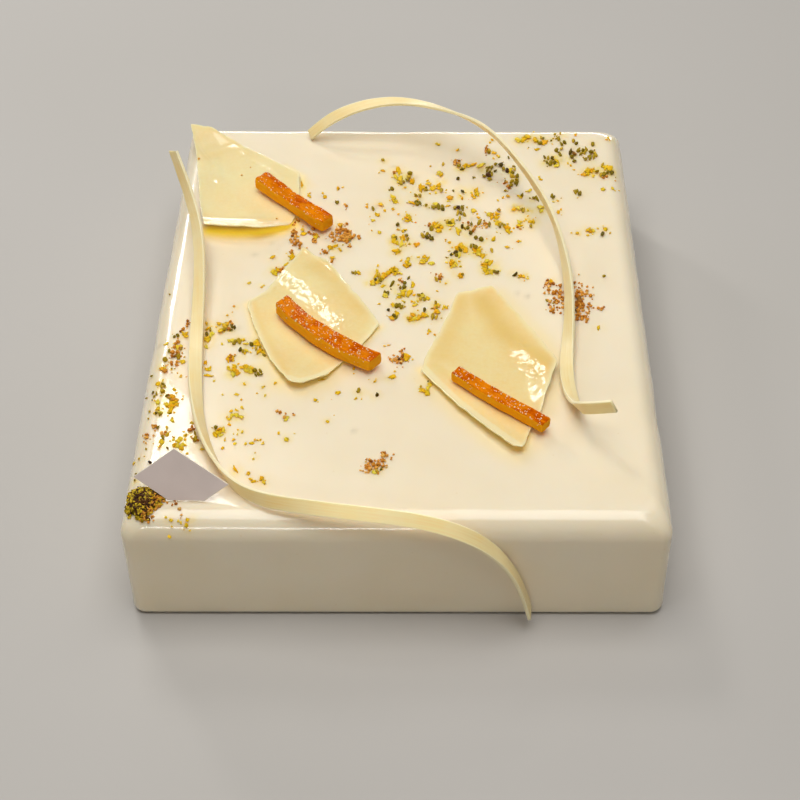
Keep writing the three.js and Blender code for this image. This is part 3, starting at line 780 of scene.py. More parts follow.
def orange_sticks(rng):
    finish, sugar = orange_finish(), sugar_finish()
    crystals_v, crystals_f = [], []
    cube = np.array([[x, y, z] for x in (-1, 1) for y in (-1, 1) for z in (-1, 1)], float) * 0.5
    cube_f = [(0, 1, 3, 2), (4, 6, 7, 5), (0, 4, 5, 1), (2, 3, 7, 6), (0, 2, 6, 4), (1, 5, 7, 3)]
    profile = np.array([[-0.5, 0.1], [-0.42, 0], [0.42, 0], [0.5, 0.12], [0.49, 0.86], [0.4, 1], [0.12, 0.95], [-0.14, 0.94], [-0.4, 0.99], [-0.48, 0.88]])
    for number, st in enumerate(STICKS):
        lo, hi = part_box(st["node"])
        z_low = lo.z / MM
        start, end = np.array(st["start"]), np.array(st["end"])
        L = np.linalg.norm(end - start)
        d = (end - start) / L
        nrm = np.array([-d[1], d[0]])
        # the profile with round arrises, 56 points
        seg = np.roll(profile, -1, 0) - profile
        scale = np.array([st["width"], st["height"]])
        lens = np.linalg.norm(seg * scale, axis=1)
        marks = np.concatenate([[0], np.cumsum(lens)])
        want = np.linspace(0, marks[-1], 56, endpoint=False)
        k = np.clip(np.searchsorted(marks, want, side="right") - 1, 0, len(profile) - 1)
        prof = profile[k] + seg[k] * ((want - marks[k]) / lens[k])[:, None]
        for _ in range(2):
            prof = 0.2 * np.roll(prof, 1, 0) + 0.6 * prof + 0.2 * np.roll(prof, -1, 0)
        steps = 150
        s = np.linspace(0, 1, steps + 1)
        off = -st["bow"] * 4 * s * (1 - s)
        w = st["width"] * (1 + 0.05 * np.sin(9 * s + st["phase"]) + 0.03 * np.sin(23 * s + 2 * st["phase"]))
        h = st["height"] * (1 + 0.05 * np.sin(7 * s + 2.1 * st["phase"]))
        lift = z_low - min(st["tilt"] * 0.5, -st["tilt"] * 0.5)
        end_d = np.minimum(s, 1 - s) * L
        last = 1 - 0.10 * np.exp(-(end_d / 0.35) ** 2)
        z0 = lift + st["tilt"] * (s - 0.5) + h * (1 - last) / 2
        mid = start + d * (L * s)[:, None] + nrm * off[:, None]
        cu = prof[None, :, 0] * (w * last)[:, None]
        X = mid[:, None, 0] + nrm[0] * cu
        Y = mid[:, None, 1] + nrm[1] * cu
        Z = z0[:, None] + prof[None, :, 1] * (h * last)[:, None]
        V = np.stack([X, Y, Z], 2)
        n = V.shape[1]
        # outward directions in the section
        tp = np.roll(V, -1, 1) - np.roll(V, 1, 1)
        along = np.zeros_like(V)
        along[:] = np.array([d[0], d[1], 0])
        out = np.cross(tp, along)
        out /= np.linalg.norm(out, axis=2)[..., None]
        centre = V.mean(1, keepdims=True)
        sign = np.sign(((V - centre) * out).sum(2).mean())
        out *= sign
        local = np.stack([np.broadcast_to((s * L)[:, None], X.shape), cu, Z], 2).reshape(-1, 3)
        top = smooth(0.35, 0.8, out[..., 2])
        wrinkle = (0.5 - np.abs(Waves(500 + number, 3.4, 14, (0.45, 1.0, 1.0))(local))).reshape(X.shape)
        fine = Waves(520 + number, 1.3, 14, (0.6, 1, 1))(local).reshape(X.shape)
        broad = Waves(540 + number, 9.0, 10)(local).reshape(X.shape)
        foot = smooth(0.06, 0.3, prof[None, :, 1])
        move = (top * (0.20 * wrinkle + 0.05 * fine) + (1 - top) * (0.05 * fine + 0.09 * broad)) * (0.25 + 0.75 * foot)
        move = np.minimum(move, 0.06)
        V = V + out * move[..., None]
        V[..., 2] -= 0.22 * (1 - smooth(0.0, 0.14, prof[None, :, 1]))      # it rests on the sheet
        Vf = V.reshape(-1, 3)
        F = quads(len(s), n)
        ring_turn = np.cross(V[0, 1] - V[0, 0], V[0, 2] - V[0, 1]) @ np.array([d[0], d[1], 0])
        caps_v, caps_f = [], []
        total = len(Vf)
        ends = []
        for which in (0, 1):
            base_ring = V[0] if which == 0 else V[-1]
            outdir = np.array([-d[0], -d[1], 0]) if which == 0 else np.array([d[0], d[1], 0])
            c = base_ring.mean(0)
            prev = 0 if which == 0 else (len(s) - 1) * n
            for q, bulge in ((0.86, 0.10), (0.6, 0.16), (0.3, 0.18)):
                pts = c + (base_ring - c) * q + outdir * bulge
                pts = pts + outdir * (0.10 * Waves(600 + number * 2 + which, 1.8)(pts))[:, None] * 0.8
                startk = total + len(caps_v)
                caps_v += pts.tolist()
                for j in range(n):
                    k2 = (j + 1) % n
                    quad = (prev + j, startk + j, startk + k2, prev + k2) if which == 0 else (prev + j, prev + k2, startk + k2, startk + j)
                    caps_f.append(quad)
                prev = startk
            mid_i = total + len(caps_v)
            caps_v.append((c + outdir * 0.2).tolist())
            for j in range(n):
                k2 = (j + 1) % n
                caps_f.append((prev + j, mid_i, prev + k2) if which == 0 else (prev + j, prev + k2, mid_i))
            ends.append((total, which))
        Vall = np.concatenate([Vf, np.array(caps_v)])
        Fall = F + caps_f
        # the profile's own turn says which way the faces look
        c = Vall[:len(Vf)].mean(0)
        q = F[(steps // 2) * n + n // 2]
        fn = np.cross(Vall[q[1]] - Vall[q[0]], Vall[q[2]] - Vall[q[1]])
        if fn @ (Vall[q[0]] - centre[steps // 2, 0]) < 0:
            Fall = [tuple(reversed(x)) for x in Fall]
        topa = np.zeros(len(Vall))
        topa[:len(Vf)] = (top * (0.75 + 0.25 * smooth(-0.3, 0.3, broad))).ravel()
        # painted highlight along the top edges, broken up by noise
        rim = np.zeros(len(Vall))
        rim[:len(Vf)] = (smooth(0.36, 0.47, prof[None, :, 0]) * smooth(0.7, 0.95, prof[None, :, 1])
                         * smooth(-0.5, 0.6, Waves(700 + number, 2.5)(local).reshape(X.shape))).ravel()
        strip = np.zeros((len(Vall), 3))
        strip[:len(Vf)] = local - np.array([0, 0, z_low])
        caps = np.array(caps_v)
        strip[len(Vf):] = np.c_[(caps[:, :2] - start) @ d, (caps[:, :2] - start) @ nrm, caps[:, 2] - z_low]
        make(st["name"], Vall, Fall, finish, [st["node"]], {"top": topa, "rim": rim, "strip": strip})
        # sugar crystals caught on the top and along its edges
        want = [150, 300, 170][number]
        placed = 0
        while placed < want:
            i, j = int(rng.integers(2, steps - 1)), int(rng.integers(0, n))
            t = top[i, j]
            edge = smooth(0.30, 0.46, abs(prof[j, 0]))
            chance = 0.22 * t + 0.7 * t * edge + 0.03
            if prof[j, 1] < 0.35 or rng.random() > chance:
                continue
            size = float(np.clip(rng.lognormal(-1.5, 0.42), 0.11, 0.46))
            axes = np.linalg.qr(rng.normal(size=(3, 3)))[0]
            box = cube * np.array([size * rng.uniform(0.7, 1.5), size, size * rng.uniform(0.6, 1.0)]) * (1 + 0.25 * rng.normal(size=(8, 1)).clip(-1, 1) * 0.5)
            p = V[i, j] + out[i, j] * size * 0.12 + np.array([d[0], d[1], 0]) * rng.uniform(-0.12, 0.12)
            k0 = len(crystals_v)
            crystals_v += (box @ axes + p).tolist()
            det = np.linalg.det(axes)
            for q4 in cube_f:
                q5 = tuple(k0 + x for x in q4)
                crystals_f.append(q5 if det > 0 else tuple(reversed(q5)))
            placed += 1
    make("sugar_crystals", crystals_v, crystals_f, sugar, flat=True)


# ---------------------------------------------------------------- plaque

def plaque():
    outline = np.array([[-5.95, 0], [5.95, 0], [13.8, 5.6], [-3.7, 17.3], [-17.05, 7.6]])
    turn, lean, thick = math.radians(-1.4), math.radians(59), 0.9
    along = np.array([math.cos(turn), math.sin(turn), 0])
    back = np.array([-math.sin(turn), math.cos(turn), 0])
    slope = back * math.cos(lean) + np.array([0, 0, math.sin(lean)])
    out = np.cross(along, slope)
    foot = np.array([-68.25, -102.2, HEIGHT + 0.3 + thick * math.cos(lean)])
    # rings of the outline: a sharp cut edge with a fine arris, then the face
    pts = []
    for i in range(5):
        p, q = outline[i], outline[(i + 1) % 5]
        n = max(3, round(np.linalg.norm(q - p) / 0.6))
        pts += [p + (q - p) * k / n for k in range(n)]
    P = np.array(pts)
    c = np.array([-1.2, 6.9])
    rings, depth, rim = [], [], []
    spec = [(0.02, thick, 0), (0.5, thick, 0), (0.985, thick, 0), (0.995, thick - 0.05, 1), (1.0, thick - 0.16, 1), (1.0, 0.14, 1), (0.996, 0.05, 1), (0.988, 0.0, 0.5)]
    spec += [(q, 0.0, 0) for q in (0.975, 0.9, 0.8, 0.7, 0.6, 0.5, 0.4, 0.3, 0.2, 0.1, 0.02)]
    V, R = [], []
    for (q, dback, r) in spec:
        ring = c + (P - c) * q
        flat = np.c_[ring, np.zeros(len(ring))]
        warp = (0.05 * Waves(801, 16.0)(flat)) if q < 0.99 and dback == 0.0 else np.zeros(len(ring))
        V.append(foot + along * ring[:, :1] + slope * ring[:, 1:2] - out * (dback + np.abs(warp)[:, None]))
        R += [r] * len(ring)
    n = len(P)
    V = np.concatenate(V)
    F = quads(len(spec), n)
    F.append(tuple(reversed(range(n))))
    F.append(tuple((len(spec) - 1) * n + j for j in range(n)))
    make("plaque_blank", V, F, plaque_finish(), ["plaque"], {"rim": np.array(R, float)})


# ---------------------------------------------------------------- chopped pistachio, zest and crumble

# each as (x, y, length, width, turn in degrees), in millimetres on the glaze
PISTACHIO = [
    (64.3, 105.1, 2.3, 0.7, 96), (61.9, 104.4, 1.4, 1.3, 66), (57, 101.8, 2.6, 1.1, 74), (63, 101.8, 3.3, 1.1, 47),
    (56.2, 101.7, 2.8, 0.7, 94), (63.6, 100.9, 3, 1.6, 76), (60.4, 100.1, 1.5, 1, 52), (69.4, 99.7, 3.3, 1.6, 85),
    (65.7, 98.5, 2.6, 1.6, 106), (55.6, 97.9, 3, 2.2, 67), (70.5, 97.9, 2.9, 1.9, 110), (64.4, 97.4, 3.1, 1.5, 101),
    (77.2, 97.2, 3, 1.8, 74), (64.1, 94.2, 3.3, 1.7, 70), (74.3, 93.7, 3, 1.5, 105), (34.6, 93, 3, 1.4, 118),
    (72.9, 93, 2.4, 1.7, 86), (62, 92.8, 2.7, 2.2, 90), (71, 92.5, 2.4, 2.1, 13), (76.2, 91.8, 2.9, 2.1, 97),
    (34.1, 91.2, 2.3, 1.7, 170), (67.7, 91.2, 4.1, 1.6, 69), (72.1, 91.1, 1.6, 1.3, 158), (73.6, 91.1, 3, 1.3, 73),
    (63.3, 90.3, 3.5, 1.4, 107), (77.9, 90.1, 4.2, 1.7, 103), (71.8, 90, 2.3, 1.3, 174), (75.3, 89.1, 3.3, 1.6, 55),
    (68, 88.2, 2.7, 2.3, 69), (77, 88.2, 3.6, 1.6, 78), (57, 88.2, 3, 1.2, 94), (42.3, 88, 2.8, 0.8, 104), (60, 87.5, 3, 1.7, 104), (58.4, 87.4, 2.9, 1.5, 92), (75.5, 87.2, 2.8, 1.4, 72),
    (73.6, 86.7, 2.4, 1.8, 94), (-9, 86.1, 2.2, 1.8, 93), (68.9, 85.5, 3.1, 2.2, 81), (57.8, 84.9, 3.2, 1.3, 92), (59.4, 84.8, 2.9, 1.8, 90), (60.8, 84.2, 3.2, 1.6, 82), (36.9, 83.2, 3, 2, 100),
    (58.9, 83.1, 2.5, 1.6, 124), (15.6, 83, 3.1, 1.4, 82), (38.9, 82.8, 3.4, 2.2, 71), (80.1, 82.8, 3.7, 1.1, 73),
    (21.9, 81.9, 2.6, 2.1, 86), (44.2, 81.9, 2, 1, 152), (34.1, 81.3, 2.4, 1.3, 79), (35.3, 81.2, 3.7, 1.6, 78), (23.1, 80.6, 1.9, 1.2, 77), (40, 80.4, 3.9, 1.7, 83),
    (23.3, 79.8, 2.6, 1.3, 31), (44.4, 79.7, 2.5, 1.4, 78), (33.4, 79, 3.3, 1.3, 70), (36.7, 78.8, 2.3, 1.3, 40),
    (83.6, 77.9, 3.1, 1.9, 70), (77.7, 77.9, 2.8, 2, 72), (34, 77.6, 3, 1.3, 55), (43.5, 77.5, 2.3, 1.9, 57),
    (81.8, 77.5, 2.8, 1.9, 95), (35.2, 76.7, 3.5, 1.1, 89), (2.2, 76.5, 3, 2.3, 120), (80.3, 76.3, 3.3, 1.8, 88),
    (79, 76.1, 4.2, 1.4, 80), (43.3, 75.2, 3, 2.3, 136), (45.3, 75.2, 3, 1.8, 98), (32.1, 75.2, 3.1, 1.9, 89),
    (1.8, 74.5, 3.3, 1.8, 123), (27.7, 74.1, 2, 1.2, 88), (21.5, 73.3, 1.9, 1.6, 87), (34.2, 73.1, 2.7, 1.9, 14),
    (45, 72.6, 2.2, 2.1, 121), (1.3, 72.3, 3.6, 1.8, 100), (42.9, 71.4, 3.2, 1.8, 50), (-0.1, 71.2, 3.9, 1.2, 100),
    (-1.3, 70.9, 2.4, 1.6, 117), (44.5, 70.6, 3.1, 1.5, 66), (-1.6, 69.9, 3.6, 1, 141), (45.1, 69.5, 3.5, 0.9, 54),
    (42.7, 69, 2.4, 2.1, 92), (8.7, 66.9, 2.2, 1.4, 90), (-4.8, 66.6, 2.9, 1.9, 109), (8.7, 65.6, 2.7, 1.3, 26),
    (19.6, 65.5, 1.7, 1, 103), (40.3, 65.5, 1.7, 1.6, 77), (14.9, 65.1, 3.3, 1.8, 90), (68.8, 65.1, 2.4, 1.5, 84),
    (23.3, 64.6, 4, 1.5, 105), (68, 64.6, 3.1, 1.3, 91), (69.7, 63.5, 2.9, 1.7, 73),
    (46.8, 62.6, 2.2, 1.4, 88), (4.8, 62.1, 2.4, 1.6, 132), (58.6, 62.1, 3, 1.4, 79), (6.3, 61.9, 3.5, 1.4, 88),
    (59.2, 61.4, 3.9, 1.2, 75), (51.3, 60.5, 2.5, 1.6, 72), (52.6, 59.9, 3.8, 1.2, 106), (4.9, 58.2, 2.5, 1.6, 68),
    (6.3, 57.4, 2.9, 1.5, 101), (-26.1, 57.4, 2.4, 1.9, 123), (5.2, 56.1, 2.1, 1.8, 121), (8.8, 55.7, 1.7, 1.5, 90),
    (15.3, 55.1, 2.5, 1.7, 110), (12.3, 54.8, 2.3, 1.6, 151), (11.5, 54.4, 4.2, 1.7, 117), (13.7, 54.4, 3, 1.8, 88),
    (20.2, 54.4, 3.7, 1.5, 80), (23, 53.6, 3.3, 1.6, 111), (46.4, 53.4, 2.7, 1.5, 89), (-12, 53.4, 3, 1.4, 102),
    (15.3, 53.1, 2, 1.8, 1), (47, 53, 4.2, 1.5, 83), (37.4, 52.6, 3.3, 2, 110), (22.3, 51.2, 3.5, 1.4, 91),
    (21.2, 50.9, 3.7, 1.1, 86), (23.7, 50.1, 3.1, 1.3, 109), (21.9, 47.4, 3.7, 1.3, 85), (17.1, 45.5, 3, 1.3, 70),
    (29.5, 44.5, 4, 1.7, 62), (18.1, 44.4, 2.3, 1.9, 139), (26.4, 44.2, 3.4, 1.3, 90), (38.3, 44, 2, 1.1, 50),
    (33.4, 43.6, 4.2, 1.4, 86), (-2.2, 43.3, 2.2, 1.7, 91), (39.1, 43.1, 2.1, 1.3, 65), (49.4, 42.8, 3.6, 1.3, 84),
    (37.4, 42.4, 2.5, 1.4, 90), (22.8, 42.1, 2.5, 1.4, 86), (25.1, 41.6, 2.2, 1.6, 69), (23.9, 41.1, 2.5, 1.4, 104),
    (10.9, 40.7, 2.5, 2.1, 57), (26, 38.2, 2.6, 1.8, 96), (76.6, 38, 2.9, 1, 76), (76.9, 37.8, 4.2, 1.7, 83),
    (9.2, 37.5, 2.3, 1.5, 76), (1.3, 36.6, 2.6, 1.6, 85), (7.4, 36.4, 3.3, 2.2, 131), (10.5, 36.3, 2.5, 1.2, 106),
    (28, 35.7, 3.6, 2, 90), (9.3, 35.4, 2.3, 1.9, 79), (-2.7, 35.1, 2.3, 1.5, 105), (1.5, 34.8, 2, 1, 56), (11, 34.4, 2.5, 2, 30),
    (30.1, 34.3, 2.5, 2.2, 79), (1.9, 34.2, 2.7, 0.7, 62), (-20.3, 33.7, 3.3, 0.9, 57), (27.7, 30.9, 3.3, 0.8, 145),
    (26.1, 30.4, 3.3, 1.3, 91), (27.6, 29.4, 2.7, 2.1, 111), (22, 27.6, 2.5, 1.6, 96), (33.9, 27.5, 2.9, 1.4, 94),
    (20.1, 26.4, 2.8, 1.6, 38), (18.5, 25.4, 2.7, 1.5, 89), (20.4, 24.7, 1.9, 1.6, 91), (34.8, 14.9, 2.3, 1.4, 154),
    (35.5, 14.6, 2.8, 1.9, 82), (-18.6, 14.5, 2.5, 1.4, 108), (-17.6, 14.3, 3, 1.1, 89), (22.6, 13.4, 2.1, 1.3, 111),
    (42.4, 13.1, 3.1, 1.6, 46), (75.6, 12.5, 2, 1.3, 58), (-8.7, 12.2, 2.5, 2, 120), (2.4, 11.1, 2.4, 1.2, 53),
    (12.8, 10.3, 3.1, 1.6, 121), (-9.7, 9.8, 3.1, 1.3, 106), (-8.3, 9.7, 2.6, 2.1, 100), (1.1, 8.2, 2.7, 1.5, 71),
    (-3.7, 7.5, 4.2, 1.2, 66), (0.9, 5.9, 2.8, 1.9, 91), (-0.5, 5.6, 2.8, 1.4, 89), (-85.8, 2.9, 1.3, 0.7, 120),
    (-5.1, 2.8, 3.2, 1.2, 86), (-6.3, 2.7, 2.1, 1.6, 108), (6.2, 1.2, 2, 1.6, 124), (7, -0.8, 2.2, 1.7, 90),
    (8.4, -1, 2.2, 1.4, 83), (53.4, -1.5, 2.4, 0.7, 115), (12.6, -3, 1.8, 1.2, 103), (-1.6, -4.5, 3.8, 1.9, 82),
    (-0.8, -4.6, 2.6, 1.6, 88), (12.9, -5.5, 1.9, 1, 98), (0.1, -5.6, 2.6, 1.3, 67), (8.5, -7, 3.1, 1.3, 89),
    (-4.8, -7.1, 1.8, 1.4, 84), (-2.6, -10.4, 2.2, 1.7, 104), (11.5, -10.9, 4.2, 1.6, 85), (12.8, -11, 2.8, 1.3, 87),
    (2.4, -11.5, 2.3, 1.3, 76), (-1.8, -11.5, 2.4, 0.9, 56), (-61, -16.4, 2.2, 1.6, 103), (-60.1, -16.9, 2.6, 0.9, 91),
    (-68.9, -17.9, 2.9, 1.2, 94), (-63.7, -18.1, 2.4, 1.9, 104), (-61.2, -18.4, 1.9, 0.9, 16), (-69.8, -20.4, 2.7, 1.4, 105),
    (-80.1, -21.5, 2.4, 1.5, 99), (-81.3, -22, 1.5, 1.4, 78), (-59.2, -24.6, 2, 1.5, 83), (-57.8, -24.7, 3.3, 1.5, 106),
    (-59.5, -25.8, 1.7, 1.3, 174), (-53.3, -26.2, 2.4, 1.8, 112), (-50.1, -27.5, 1.4, 1.3, 111), (-51.5, -28, 2.7, 1.4, 120),
    (-78.1, -28.4, 3, 0.7, 79), (-57.1, -29, 2.3, 1.8, 109), (-82.3, -29.3, 3.1, 1.3, 103), (-56.1, -29.6, 2.5, 1, 84),
    (-48.3, -31.8, 1.9, 1.1, 152), (-78.5, -33, 3, 1.7, 78), (-83, -33.7, 3.4, 2.2, 89), (-80.3, -38.7, 1.1, 0.7, 71),
    (-50.9, -39.8, 2.3, 1.9, 75), (-49, -40, 2.5, 1.3, 123), (-87.2, -40.3, 1.8, 1.1, 75), (-49.6, -41.6, 2.5, 1.3, 102),
    (-48.5, -41.9, 2.4, 0.8, 57), (-50.5, -42.1, 2.4, 0.9, 121), (-82.4, -46.7, 1.7, 1.3, 4), (7.4, -47.7, 1.7, 1, 99),
    (-81.7, -47.8, 1.9, 1.2, 79), (-82.8, -47.9, 2.3, 1.2, 111), (-14.3, -49.9, 2.6, 1.6, 83), (-85.5, -50, 1.9, 1.4, 92),
    (-82.1, -50.4, 2.2, 1.9, 126), (-84.1, -51.1, 2.4, 0.9, 89), (-7.7, -52.1, 2, 1.5, 102), (-84.9, -52.3, 1.9, 1.2, 79),
    (-80.3, -52.7, 1.4, 1.4, 89), (-79.3, -53.9, 1.7, 0.9, 107), (-85.5, -59.5, 2.1, 1, 93), (-83, -61.2, 2.1, 1.2, 85),
    (-81.6, -62, 1.9, 1.7, 78), (-85.5, -62.9, 1, 0.9, 161), (-81.5, -68, 2.9, 1.1, 72), (-62, -68.4, 2.6, 1.6, 90),
    (-78.5, -68.6, 2.9, 1.1, 97), (-68.8, -70.9, 3.1, 1, 114), (-78, -71.5, 2.4, 1.5, 81), (-79.2, -73.2, 2.1, 1.7, 126),
    (-68.3, -73.9, 2.9, 2.2, 107), (-77.2, -77.9, 2.1, 0.8, 112), (-86.3, -81.5, 1.6, 0.7, 97), (-88.2, -81.8, 2.1, 0.8, 67),
    (-5.5, -87.5, 1.9, 1.1, 55), (-6.9, -88.3, 1.5, 1.3, 115), (-86.4, -91.2, 1.5, 0.7, 145), ]
SKINS = [
    (69.3, 90.6, 3.3, 1.8, 96), (41.4, 79.2, 3.2, 1.5, 95), (33.9, 75.1, 2.7, 2.3, 99), (21.4, 54.2, 2.9, 1.6, 101),
    (65.2, -0.9, 3.7, 1.9, 80), (64.5, -6.4, 3.5, 1, 45), (-79.7, -32.1, 1.8, 1.2, 30), (0.3, -33.2, 3.3, 1, 41),
    (-82.2, -84.7, 1.8, 1.2, 53),
]
